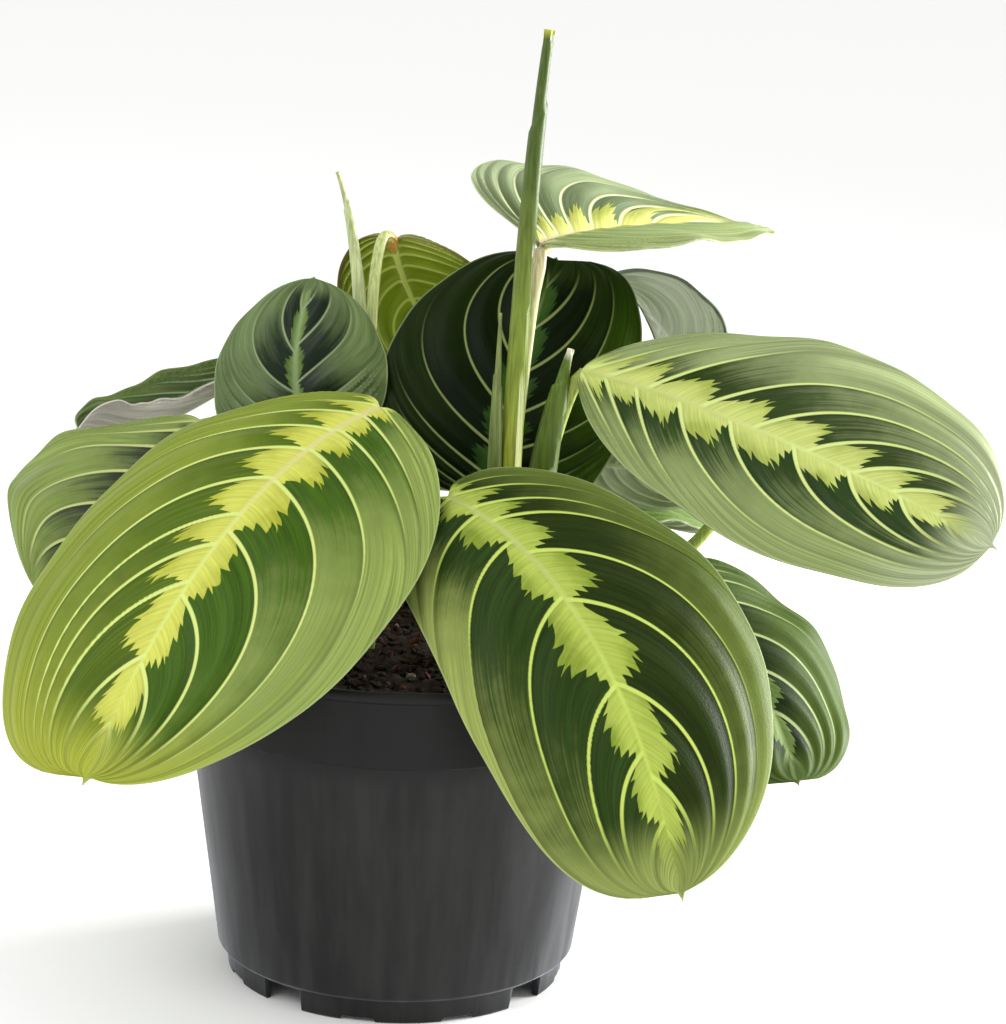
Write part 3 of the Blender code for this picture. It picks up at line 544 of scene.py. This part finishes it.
def add_blade(bm, leaf):
    """The blade as a closed quilted sheet. Faces 0 look up, 1 down, and 1 round the edge."""
    # A row or column of faces to about each millimetre, and rows closer together at the ends.
    length = (Vector(leaf["tip"]) - Vector(leaf["joint"])).length * 1000
    rows, columns = int(length * 1.1) + 14, 2 * (int(leaf["width"] * 500) + 6)
    along, across = bm.verts.layers.float["along"], bm.verts.layers.float["across"]
    bmesh.ops.create_grid(bm, x_segments=rows, y_segments=columns, size=1.0)
    under = bmesh.ops.extrude_face_region(bm, geom=bm.faces[:])["geom"]
    under = [part for part in under if isinstance(part, bmesh.types.BMVert)]
    bmesh.ops.translate(bm, verts=under, vec=(0, 0, -1))
    bmesh.ops.recalc_face_normals(bm, faces=bm.faces)
    for face in bm.faces:
        face.material_index = 0 if face.normal.z > 0.5 else 1
    flat = np.array([vert.co for vert in bm.verts])
    t = (1 - np.cos(pi * np.clip((flat[:, 0] + 1) / 2, 0, 1))) / 2
    t = 0.35 * t + 0.65 * (flat[:, 0] + 1) / 2
    u = np.clip(flat[:, 1], -1, 1)
    places = blade_places(leaf, t, u)
    step = 0.01
    t_in, u_in = np.clip(t, step, 1 - step), np.clip(u, step - 1, 1 - step)
    ahead = blade_places(leaf, t_in + step, u_in) - blade_places(leaf, t_in - step, u_in)
    aside = blade_places(leaf, t_in, u_in + step) - blade_places(leaf, t_in, u_in - step)
    out = np.cross(ahead, aside)
    out /= np.maximum(np.linalg.norm(out, axis=1), 1e-12)[:, None]
    v = np.abs(u)
    # The blade puffs up between its veins, sinks along its midrib, and has a keel below it.
    from_rib = np.linalg.norm(places - blade_places(leaf, t, u * 0), axis=1)
    puff = (1 - np.cos(2 * pi * vein_turn(leaf, t, u))) / 2 * np.clip(from_rib / 0.005, 0, 1)
    puff *= np.clip((1 - v) / 0.15, 0, 1) * np.clip((1 - t) / 0.1, 0, 1) * QUILTING
    rib = 0.0006 * np.exp(-(from_rib / 0.0013) ** 2) * (1 - 0.7 * t)
    thick = BLADE_THICKNESS * (1 - 0.35 * v ** 4)
    keel = KEEL_DEPTH * (1 - t) * np.exp(-(from_rib / 0.0012) ** 2)
    lift = thick / 2 + puff - rib
    lift = np.where(flat[:, 2] > -0.5, lift, lift - thick - keel)
    places += out * lift[:, None] + np.array(POT_AXIS)
    for vert, place, t_here, u_here in zip(bm.verts, places, t, u):
        vert.co = place
        vert[along] = t_here
        vert[across] = u_here
    bmesh.ops.remove_doubles(bm, verts=bm.verts, dist=0.000002)


def lay_vein_maps(mesh, leaf):
    """Maps on the blade's own surface: its length and width, its veins, and its midrib.

    The veins of the two halves leave the midrib in turn, so a corner of a face on the
    midrib takes the count of its own half. The right half counts from RIGHT_COUNT and the
    left half from LEFT_COUNT, so that a material can tell them apart.
    """
    count = len(mesh.loops)
    corners = np.zeros(count, int)
    t, u = np.zeros(len(mesh.vertices)), np.zeros(len(mesh.vertices))
    mesh.loops.foreach_get("vertex_index", corners)
    mesh.attributes["along"].data.foreach_get("value", t)
    mesh.attributes["across"].data.foreach_get("value", u)
    starts = np.zeros(len(mesh.polygons), int)
    mesh.polygons.foreach_get("loop_start", starts)
    sizes = np.diff(np.append(starts, count))
    on_left = np.repeat(np.add.reduceat(u[corners], starts) >= 0, sizes)[:, None]
    halves = []
    for side, first in ((1.0, LEFT_COUNT), (-1.0, RIGHT_COUNT)):
        v = np.maximum(np.abs(u), 1e-6) * side
        here = blade_places(leaf, t, v)
        from_rib = np.linalg.norm(here - blade_places(leaf, t, u * 0), axis=1) * 1000
        to_edge = np.linalg.norm(here - blade_places(leaf, t, u * 0 + side), axis=1) * 1000
        halves.append((np.column_stack((t, 0.5 + v / 2)),
                       np.column_stack((vein_turn(leaf, t, v) + first, vein_gap(leaf, t, v))),
                       np.column_stack((from_rib, to_edge))))
    for name, left, right in zip(("blade", "veins", "rib"), *halves):
        layer = mesh.uv_layers.new(name=name)
        places = np.where(on_left, left[corners], right[corners])
        layer.data.foreach_set("uv", places.astype(np.float32).ravel())


LEAF_TISSUE = {"IOR": 1.42, "Subsurface Weight": 0.08, "Subsurface Scale": 0.0010,
               "Subsurface Radius": (0.6, 1.0, 0.3)}
RIM_TONE = "#A9B283"
SOFT = {"interpolation_type": "SMOOTHSTEP"}
# How far out the feather reaches, from one vein to the next and from the joint to the tip.
LOBE_TEETH = ((0.0, 0.32), (0.06, 0.52), (0.10, 0.72), (0.14, 0.56), (0.26, 0.88), (0.32, 0.64),
              (0.44, 0.94), (0.505, 0.80), (0.53, 1.0), (0.555, 0.70), (0.68, 0.80),
              (0.74, 0.44), (0.82, 0.52), (0.87, 0.26), (0.94, 0.30), (1.0, 0.14))
FEATHER_SPAN = ((0.0, 0.40), (0.04, 0.62), (0.12, 0.92), (0.30, 1.0), (0.55, 0.92),
                (0.70, 0.80), (0.82, 0.62), (0.93, 0.36), (1.0, 0.0))


def read_vein_maps(tree, leaf, seed):
    """Reads the blade's maps, and lays the fine lines that run beside its veins.

    The lines are about 0.3 mm apart in life, and 0.5 mm here, so that they show.
    """
    sockets = []
    for name in ("blade", "veins", "rib"):
        place = add_node(tree, "UVMap", {}, uv_map=name)
        sockets += list(add_node(tree, "SeparateXYZ", (place,)).outputs)[:2]
    t, _, turn, gap, from_rib, to_edge = sockets
    width = add_node(tree, "Math", (from_rib, to_edge), operation="ADD")
    v = add_node(tree, "Math", (from_rib, width), operation="DIVIDE")
    part = add_node(tree, "Math", (turn,), operation="FRACT")
    near = add_node(tree, "Math", (turn, 0.5), operation="PINGPONG")
    from_vein = add_node(tree, "Math", (near, gap), operation="MULTIPLY")
    lines_per_gap = 4 + 1.7 * leaf["feather_mm"]
    place = add_node(tree, "CombineXYZ", (turn, v, seed))
    place = add_node(tree, "Mapping", {"Vector": place, "Scale": (lines_per_gap, 1.6, 1)})
    lines = add_node(tree, "TexNoise", {"Vector": place, "Scale": 1.0, "Detail": 3.0,
                                        "Roughness": 0.7})
    return SimpleNamespace(t=t, v=v, turn=turn, part=part, from_vein=from_vein,
                           from_rib=from_rib, to_edge=to_edge, lines=lines)


def dark_patches(tree, leaf, maps):
    """Dark patches between the veins, darkest on each vein's tip side, on a paler margin."""
    dark_left, dark_right = leaf["dark"]
    margin_left, margin_right = leaf["margin"]
    reach_left, reach_right = leaf["dark_reach"]
    # The tones of the two halves differ partly as painted sheen on one half and painted shade on
    # the other.
    dark = add_node(tree, "Mix", {0: maps.on_left, 6: dark_right, 7: dark_left},
                    data_type="RGBA")
    margin = add_node(tree, "Mix", {0: maps.on_left, 6: margin_right, 7: margin_left},
                      data_type="RGBA")
    reach = add_node(tree, "Mix", {0: maps.on_left, 2: reach_right, 3: reach_left})
    out = add_node(tree, "Math", (maps.part, 0.26, maps.v), operation="MULTIPLY_ADD")
    for pattern, weight in ((maps.push, -0.13), (maps.mottle, 0.22), (maps.chance, 0.14)):
        out = add_node(tree, "Math", (pattern, weight, out), operation="MULTIPLY_ADD")
    beyond = add_node(tree, "Math", (out, reach), operation="SUBTRACT")
    darkness = add_node(tree, "MapRange", (beyond, 0.50, 0.02), **SOFT)
    before_tip = add_node(tree, "MapRange", (maps.t, 0.97, 0.84), **SOFT)
    darkness = add_node(tree, "Math", (darkness, before_tip), operation="MULTIPLY")
    at_tip = add_node(tree, "MapRange", (maps.t, 0.72, 1.0, 0.0, 0.75), **SOFT)
    margin = add_node(tree, "Mix", {0: at_tip, 6: margin, 7: leaf.get("tip_tone", margin_left)},
                      data_type="RGBA")
    colour = add_node(tree, "Mix", {0: darkness, 6: margin, 7: dark}, data_type="RGBA")
    shade = add_node(tree, "MapRange", (maps.lines, 0.28, 0.72, 0.66, 1.30), **SOFT)
    return add_node(tree, "VectorMath", {0: colour, 3: shade}, operation="SCALE")


def lay_feather(tree, leaf, maps, ground):
    """The pale feather beside the midrib, one lobe from each vein to the next.

    A lobe is cut into teeth, with a long thin tooth in its middle. The lobes differ a
    little, and their edges wander over 12 mm.
    """
    feather_mm = leaf["feather_mm"]
    uneven = add_node(tree, "TexNoise", {"Vector": maps.place, "Scale": 1000 / 11.76,
                                         "Detail": 1.0})
    uneven = add_node(tree, "MapRange", (uneven, 0.30, 0.70, -1.0, 1.0), **SOFT)
    shift = add_node(tree, "Math", (maps.chance, 0.14, -0.07), operation="MULTIPLY_ADD")
    shift = add_node(tree, "Math", (uneven, 0.06, shift), operation="MULTIPLY_ADD")
    lobe = add_node(tree, "Math", (maps.part, shift), operation="ADD", use_clamp=True)
    lobe = add_node(tree, "ValToRGB", (lobe,), stops=LOBE_TEETH)
    span = add_node(tree, "ValToRGB", (maps.t,), stops=FEATHER_SPAN)
    size = add_node(tree, "MapRange", (maps.chance, 0.0, 1.0, 1.14 * feather_mm,
                                       1.50 * feather_mm), **SOFT)
    size = add_node(tree, "Math", (uneven, 0.10 * feather_mm, size), operation="MULTIPLY_ADD")
    edge = add_node(tree, "Math", (lobe, size), operation="MULTIPLY")
    edge = add_node(tree, "Math", (edge, span), operation="MULTIPLY")
    edge = add_node(tree, "Math", (maps.push, 0.13, edge), operation="MULTIPLY_ADD")
    inside = add_node(tree, "Math", (edge, maps.from_rib), operation="SUBTRACT")
    share = add_node(tree, "MapRange", (inside, -0.20, 0.25), **SOFT)
    before_tip = add_node(tree, "MapRange", (maps.t, 0.97, 0.86), **SOFT)
    share = add_node(tree, "Math", (share, before_tip), operation="MULTIPLY")
    deep = add_node(tree, "Math", (maps.mottle, maps.from_rib), operation="MULTIPLY")
    deep = add_node(tree, "MapRange", (deep, 0.08 * feather_mm, 0.55 * feather_mm), **SOFT)
    tone = add_node(tree, "Mix", {0: deep, 6: leaf["feather"], 7: leaf["feather_deep"]},
                    data_type="RGBA")
    shade = add_node(tree, "MapRange", (maps.lines, 0.28, 0.72, 0.80, 1.12), **SOFT)
    tone = add_node(tree, "VectorMath", {0: tone, 3: shade}, operation="SCALE")
    return add_node(tree, "Mix", {0: share, 6: ground, 7: tone}, data_type="RGBA")


def lay_veins(tree, leaf, maps, ground):
    """The veins, over a millimetre wide by the midrib and thinner outwards.

    A line of painted shade on each vein's tip side darkens the dip that it lies in.
    """
    # Painted shade: the dip on each vein's tip side is darkened by up to 22 percent.
    dip_shade = add_node(tree, "MapRange", (maps.from_vein, 1.7, 0.5), **SOFT)
    tip_side = add_node(tree, "MapRange", (maps.part, 0.5, 0.3), **SOFT)
    dip_shade = add_node(tree, "Math", (dip_shade, tip_side), operation="MULTIPLY")
    dip_shade_factor = add_node(tree, "Math", (dip_shade, -0.22, 1.0), operation="MULTIPLY_ADD")
    ground = add_node(tree, "VectorMath", {0: ground, 3: dip_shade_factor}, operation="SCALE")
    half = add_node(tree, "MapRange", (maps.v, 0.1, 0.92, leaf["vein_mm"], 0.12))
    inside = add_node(tree, "Math", (half, maps.from_vein), operation="SUBTRACT")
    share = add_node(tree, "MapRange", (inside, -0.22, 0.22), **SOFT)
    for place, gone, whole, most in ((maps.v, 0.94, 0.60, 0.95), (maps.t, 0.97, 0.82, 1.0)):
        fade = add_node(tree, "MapRange", (place, gone, whole, 0.0, most), **SOFT)
        share = add_node(tree, "Math", (share, fade), operation="MULTIPLY")
    return add_node(tree, "Mix", {0: share, 6: ground, 7: leaf["vein"]}, data_type="RGBA")


def lay_midrib_and_rim(tree, leaf, maps, ground):
    """The midrib, which is cream by the joint on most leaves, and a thin pale rim."""
    half = add_node(tree, "MapRange", (maps.t, 0.0, 1.0, 0.95, 0.20))
    inside = add_node(tree, "Math", (half, maps.from_rib), operation="SUBTRACT")
    share = add_node(tree, "MapRange", (inside, -0.6, 0.5), **SOFT)
    fade = add_node(tree, "MapRange", (maps.t, 0.94, 0.76, 0.0, 0.75), **SOFT)
    share = add_node(tree, "Math", (share, fade), operation="MULTIPLY")
    past_joint = add_node(tree, "MapRange", (maps.t, 0.20, 0.65), **SOFT)
    tone = add_node(tree, "Mix", {0: past_joint, 6: leaf.get("rib", leaf["vein"]),
                                  7: leaf["vein"]}, data_type="RGBA")
    colour = add_node(tree, "Mix", {0: share, 6: ground, 7: tone}, data_type="RGBA")
    on_rim = add_node(tree, "MapRange", (maps.to_edge, 0.55, 0.20, 0.0, 0.4), **SOFT)
    return add_node(tree, "Mix", {0: on_rim, 6: colour, 7: RIM_TONE}, data_type="RGBA")


def living_leaf(name, leaf, seed):
    """A living maranta leaf: satin skin over soft tissue, with its markings along its veins.

    The markings follow the blade's own maps, which are in millimetres. The mottle is 7.7 mm
    wide, and the skin's grain 0.7 mm.
    """
    material, tree, shader = start_material(
        name, LEAF_TISSUE | {"Specular IOR Level": leaf["shine"]})
    maps = read_vein_maps(tree, leaf, seed)
    patch = add_node(tree, "Math", (maps.turn,), operation="FLOOR")
    maps.chance = add_node(tree, "TexWhiteNoise", {"W": patch, "Vector": (seed, 0, 0)},
                           noise_dimensions="4D")
    maps.on_left = add_node(tree, "Math", (maps.turn, BETWEEN_COUNTS),
                            operation="GREATER_THAN")
    maps.place = add_node(tree, "TexCoord", {}).outputs["Object"]
    maps.mottle = add_node(tree, "TexNoise", {"Vector": maps.place, "Scale": 1000 / 7.69,
                                              "Detail": 3.0, "Roughness": 0.55})
    maps.push = add_node(tree, "MapRange", (maps.lines, 0.28, 0.72, -1.0, 1.0), **SOFT)
    colour = dark_patches(tree, leaf, maps)
    for lay_marking in (lay_feather, lay_veins, lay_midrib_and_rim):
        colour = lay_marking(tree, leaf, maps, colour)
    grain = add_node(tree, "TexNoise", {"Vector": maps.place, "Scale": 1000 / 0.7,
                                        "Detail": 2.0})
    relief = add_node(tree, "Math", (maps.lines, grain), operation="ADD")
    bump = add_node(tree, "Bump", {"Height": relief, "Distance": 0.00016, "Strength": 0.45})
    rough = add_node(tree, "MapRange", (maps.lines, 0.3, 0.7, 0.34, 0.48))
    feed(shader, {"Base Color": colour, "Normal": bump, "Roughness": rough})
    return material


def leaf_underside(name, leaf, seed):
    """The blade's underside: duller and paler, with raised veins and a stout midrib."""
    tissue, vein = leaf["under"]
    material, tree, shader = start_material(
        name, LEAF_TISSUE | {"Roughness": 0.50, "Specular IOR Level": 0.35})
    maps = read_vein_maps(tree, leaf, seed)
    shade = add_node(tree, "MapRange", (maps.lines, 0.3, 0.7, 0.82, 1.14), **SOFT)
    colour = add_node(tree, "VectorMath", {0: linear(tissue)[:3], 3: shade}, operation="SCALE")
    vein_half = add_node(tree, "MapRange", (maps.v, 0.0, 1.0, 0.50, 0.15))
    on_vein = add_node(tree, "Math", (vein_half, maps.from_vein), operation="SUBTRACT")
    on_vein = add_node(tree, "MapRange", (on_vein, -0.25, 0.25, 0.0, 0.8), **SOFT)
    rib_half = add_node(tree, "MapRange", (maps.t, 0.0, 1.0, 1.1, 0.25))
    on_rib = add_node(tree, "Math", (rib_half, maps.from_rib), operation="SUBTRACT")
    on_rib = add_node(tree, "MapRange", (on_rib, -0.3, 0.3), **SOFT)
    pale = add_node(tree, "Math", (on_vein, on_rib), operation="MAXIMUM")
    colour = add_node(tree, "Mix", {0: pale, 6: colour, 7: vein}, data_type="RGBA")
    if "under_rim" in leaf:
        on_rim = add_node(tree, "MapRange", (maps.to_edge, 2.0, 0.9, 0.0, 0.85), **SOFT)
        colour = add_node(tree, "Mix", {0: on_rim, 6: colour, 7: leaf["under_rim"]},
                          data_type="RGBA")
    bump = add_node(tree, "Bump", {"Height": maps.lines, "Distance": 0.00012, "Strength": 0.5})
    feed(shader, {"Base Color": colour, "Normal": bump})
    return material


# ---------------------------------------------------------------- stalks and rolled leaves
# Round, juicy stalks that stand in the soil and end in a swollen joint under the blade.
# Young leaves stand beside some of them, still rolled up like paper.
STALK_FOOT_RADIUS = 0.0021
STALK_TOP_RADIUS = 0.0014
STALK_STEPS = 40
STEM_SIDES = 20
STALK_RISE = 0.0120
JOINT_DROP = 0.0025
JOINT_PLACE = 0.93
JOINT_SPREAD = 0.035
JOINT_SWELLING = 0.40
ROLLED_STEPS = 130
SPEARS = (
    dict(of="shoot_tall", radii=(0.0032, 0.0030, 0.0018), flap=0.80, seam=-60,
         tones=("#A8A030", "#76862C", "#42541C", "#A8AC40"), tip_from=0.985,
         points=((0.028, -0.006, 0.143), (0.027, -0.004, 0.205), (0.033, 0.002, 0.259))),
    dict(of="shoot_tall", radii=(0.0030, 0.0022, 0.0005), flap=0.70, seam=-150,
         tones=("#56662A", "#5F6E34", "#6A7640", "#8A8F60"), tip_from=0.97,
         points=((0.022, -0.009, 0.130), (0.023, -0.008, 0.165), (0.023, -0.006, 0.185))),
    dict(of="shoot_back_left", radii=(0.0030, 0.0024, 0.0006), flap=0.78, seam=-100,
         tones=("#A9B67A", "#B6C08C", "#A7B27E", "#8A9660"), tip_from=0.97,
         points=((-0.013, 0.035, 0.165), (-0.017, 0.038, 0.198), (-0.024, 0.042, 0.215))),
    dict(of="leaf_right", radii=(0.0036, 0.0060, 0.0011), flap=0.80, seam=-80,
         tones=("#52621A", "#425618", "#52661F", "#CFCDB4"), tip_from=0.95,
         points=((0.033, 0.003, 0.120), (0.037, 0.001, 0.155), (0.042, 0.000, 0.175))),
)


def curve_point(points, t):
    """A point on the Bezier curve that the given points steer."""
    points = [Vector(point) for point in points]
    while len(points) > 1:
        points = [a.lerp(b, t) for a, b in zip(points, points[1:])]
    return points[0]


def grow(bm, route, outline, material):
    """Grows a closed stem along the route. outline(share, turn) is its radius all round."""
    along = bm.verts.layers.float["along"]
    ring = bmesh.ops.create_circle(bm, segments=STEM_SIDES, radius=1.0)["verts"]
    edges = list({edge for vert in ring for edge in vert.link_edges})
    first = edges
    side, faces = Vector((1, 0, 0)), []
    for index, centre in enumerate(route):
        ahead = route[min(index + 1, len(route) - 1)] - route[max(index - 1, 0)]
        ahead.normalize()
        side = (side - ahead * side.dot(ahead)).normalized()
        aside = ahead.cross(side)
        share = index / (len(route) - 1)
        for k, vert in enumerate(ring):
            angle = 2 * pi * k / STEM_SIDES
            spoke = side * cos(angle) + aside * sin(angle)
            vert.co = POT_AXIS + centre + spoke * outline(share, angle)
            vert[along] = share
        if index < len(route) - 1:
            grown = bmesh.ops.extrude_edge_only(bm, edges=edges)["geom"]
            faces += [part for part in grown if isinstance(part, bmesh.types.BMFace)]
            fresh = {part for part in grown if isinstance(part, bmesh.types.BMVert)}
            edges = [part for part in grown if isinstance(part, bmesh.types.BMEdge)
                     and part.verts[0] in fresh and part.verts[1] in fresh]
            following = []
            for vert in ring:
                following += [edge.other_vert(vert) for edge in vert.link_edges
                              if edge.other_vert(vert) in fresh]
            ring = following
    for loop in (first, edges):
        faces += bmesh.ops.edgeloop_fill(bm, edges=loop)["faces"]
    bmesh.ops.recalc_face_normals(bm, faces=faces)
    for face in faces:
        face.material_index = material


def stem_skin(name, tones, places, rough):
    """Smooth living skin over juicy tissue. Its tones run up the stem.

    Fine long lines, 0.7 mm wide and 33 mm long, follow it.
    """
    material, tree, shader = start_material(name, {
        "Roughness": rough, "IOR": 1.42, "Specular IOR Level": 0.35,
        "Subsurface Weight": 0.12, "Subsurface Scale": 0.0012})
    along = add_node(tree, "Attribute", {}, attribute_name="along").outputs["Fac"]
    place = add_node(tree, "TexCoord", {}).outputs["Object"]
    lines = add_node(tree, "Mapping", {"Vector": place,
                                       "Scale": (1000 / 0.67, 1000 / 0.67, 1000 / 33)})
    lines = add_node(tree, "TexNoise", {"Vector": lines, "Scale": 1.0, "Detail": 3.0})
    colour = add_node(tree, "ValToRGB", (along,), stops=zip((0.0, *places, 1.0), tones))
    shade = add_node(tree, "MapRange", (lines, 0.30, 0.70, 0.74, 1.22), **SOFT)
    colour = add_node(tree, "VectorMath", {0: colour, 3: shade}, operation="SCALE")
    bump = add_node(tree, "Bump", {"Height": lines, "Distance": 0.00015, "Strength": 0.5})
    feed(shader, {"Base Color": colour, "Normal": bump})
    return material


def stalk_skin(name, foot, middle, joint):
    """A living stalk, a little darker at its foot, with a tone of its own at its joint."""
    return stem_skin(name, (foot, middle, middle, joint, joint), (0.45, 0.84, 0.93), 0.36)


def rolled_leaf_skin(name, tones, tip_from):
    """A leaf that is still rolled up, so its smooth underside shows. Its tip dries first."""
    foot, middle, top, tip = tones
    return stem_skin(name, (foot, middle, top, top, tip), (0.45, 0.80, tip_from), 0.38)


def add_stalk(bm, leaf):
    """The leaf's stalk, from its hole in the soil to a little way under the midrib."""
    x, y = leaf["foot"]
    ground = Vector((x, y, SOIL_LEVEL + SOIL_CROWN + CLEAR_OF_SOIL))
    # A stalk that shares its hole with rolled leaves stops halfway down it.
    shared = leaf["name"] in [spear["of"] for spear in SPEARS]
    deep = Vector((x, y, SOIL_LEVEL - (HOLE_DEPTH / 2 if shared else HOLE_DEPTH)))
    joint, near, beyond = (
        Vector(place) for place in blade_places(leaf, np.array([0.0, 0.04, 0.10]), np.zeros(3)))
    face, ahead = Vector(face_of(leaf)), (beyond - joint).normalized()
    up = (face - ahead * face.dot(ahead)).normalized()
    steer = (ground, ground + Vector((0, 0, STALK_RISE)), leaf["bow"],
             Vector(leaf["joint"]) - up * JOINT_DROP)
    route = [deep] + [curve_point(steer, k / STALK_STEPS) for k in range(STALK_STEPS + 1)]
    route += [near - up * 0.0022, beyond - up * 0.0015]

    def outline(share, angle):
        radius = STALK_FOOT_RADIUS + (STALK_TOP_RADIUS - STALK_FOOT_RADIUS) * share
        swelling = JOINT_SWELLING * np.exp(-((share - JOINT_PLACE) / JOINT_SPREAD) ** 2)
        end = 1.0 if share < 0.999 else 0.35
        return radius * (1 + swelling) * end
    grow(bm, route, outline, 2)


def add_spear(bm, foot_place, spear, material):
    """A rolled leaf: its free edge winds round it, and it frays a little at its end."""
    x, y = foot_place
    deep = Vector((x, y, SOIL_LEVEL - HOLE_DEPTH))
    ground = Vector((x, y, SOIL_LEVEL + SOIL_CROWN + CLEAR_OF_SOIL))
    steer = [ground] + [Vector(point) for point in spear["points"]]
    route = [deep] + [curve_point(steer, k / ROLLED_STEPS) for k in range(ROLLED_STEPS + 1)]
    foot, middle, top = spear["radii"]

    def outline(share, angle):
        radius = foot * (1 - share) ** 2 + 2 * share * (1 - share) * middle + top * share ** 2
        seam = radians(spear["seam"]) + 3.5 * max(0.0, share - 0.45)
        wrap = ((angle - seam) % (2 * pi)) / (2 * pi)
        flap = spear["flap"] + 0.09 * wrap
        inner = 0.74 if share > flap else 1.0
        frayed = 1 + 0.30 * sin(5 * angle + 40 * share) * max(0.0, share - 0.97) / 0.03
        return radius * (0.90 + 0.16 * wrap) * inner * frayed
    grow(bm, route, outline, material)


stalk_skins = {"green": stalk_skin("green_stalk", "#8C9A46", "#94A44A", "#8A9648"),
               "cream": stalk_skin("cream_stalk", "#A9AF62", "#BCC088", "#CFC49A"),
               "tan_joint": stalk_skin("tan_joint_stalk", "#A3AE62", "#B0BA78", "#B48E3C")}
for seed, own_form in enumerate(LEAVES):
    leaf = PLAIN_LEAF | own_form
    bm = bmesh.new()
    bm.verts.layers.float.new("along")
    bm.verts.layers.float.new("across")
    add_blade(bm, leaf)
    add_stalk(bm, leaf)
    skins = [living_leaf(leaf["name"] + "_upper", leaf, seed),
             leaf_underside(leaf["name"] + "_lower", leaf, seed),
             stalk_skins[leaf["stalk"]]]
    for spear in SPEARS:
        if spear["of"] == leaf["name"]:
            add_spear(bm, leaf["foot"], spear, len(skins))
            skins.append(rolled_leaf_skin(f"{leaf['name']}_rolled_{len(skins) - 2}",
                                          spear["tones"], spear["tip_from"]))
    name = leaf["name"].replace("leaf", "patterned_leaf").replace("shoot", "leafy_shoot")
    piece = finish_piece(name, bm, skins, leaf["name"], sharp=45)
    lay_vein_maps(piece.data, leaf)


# ---------------------------------------------------------------- studio
# A wide pale floor, an even pale surround, one large soft light high on the left, a strip
# on each side, and the camera a little above the plant.
FLOOR_SIZE = 12.0


def add_lamp(name, place, aim, size, power):
    """A soft rectangular light, turned to its aim."""
    lamp = bpy.data.lights.new(name, "AREA")
    lamp.shape, lamp.size, lamp.size_y, lamp.energy = "RECTANGLE", size[0], size[1], power
    holder = bpy.data.objects.new(name, lamp)
    holder.location = place
    holder.rotation_euler = (Vector(aim) - Vector(place)).to_track_quat("-Z", "Y").to_euler()
    bpy.context.scene.collection.objects.link(holder)


bm = bmesh.new()
bmesh.ops.create_grid(bm, x_segments=1, y_segments=1, size=FLOOR_SIZE / 2)
floor_mesh = bpy.data.meshes.new("floor")
bm.to_mesh(floor_mesh)
bm.free()
pale_board, _, _ = start_material("pale_board", {"Roughness": 0.9, "Base Color": "#FAFAF9"})
floor_mesh.materials.append(pale_board)
floor = bpy.data.objects.new("floor", floor_mesh)
bpy.context.scene.collection.objects.link(floor)

world = bpy.data.worlds.new("pale_surround")
world.use_nodes = True
feed(world.node_tree.nodes["Background"], {"Color": "#FFFFFF", "Strength": 0.98})
bpy.context.scene.world = world
add_lamp("key_light", (-0.9, -1.1, 1.5), (0, 0, 0.12), (0.8, 0.8), 12.0)
add_lamp("right_strip", (0.85, 0.28, 0.22), (0, 0, 0.06), (0.5, 0.7), 26.0)
add_lamp("left_strip", (-1.4, 0.1, 0.5), (0, 0, 0.08), (0.3, 1.2), 3.0)

CAMERA_PLACE = Vector((0.0256, -0.8000, 0.3136))
CAMERA_PITCH = 0.226
CAMERA_ROLL = 0.038
CAMERA_LENS = 106.7
look = Vector((0, cos(CAMERA_PITCH), -sin(CAMERA_PITCH)))
aside, over = Vector((1, 0, 0)), Vector((0, sin(CAMERA_PITCH), cos(CAMERA_PITCH)))
right = aside * cos(CAMERA_ROLL) + over * sin(CAMERA_ROLL)
up = over * cos(CAMERA_ROLL) - aside * sin(CAMERA_ROLL)
camera_data = bpy.data.cameras.new("camera")
camera_data.lens = CAMERA_LENS
camera = bpy.data.objects.new("camera", camera_data)
turn = Matrix((right, up, -look)).transposed().to_4x4()
camera.matrix_world = Matrix.Translation(POT_AXIS + CAMERA_PLACE) @ turn
bpy.context.scene.collection.objects.link(camera)
bpy.context.scene.camera = camera
bpy.context.scene.view_settings.view_transform = "Standard"
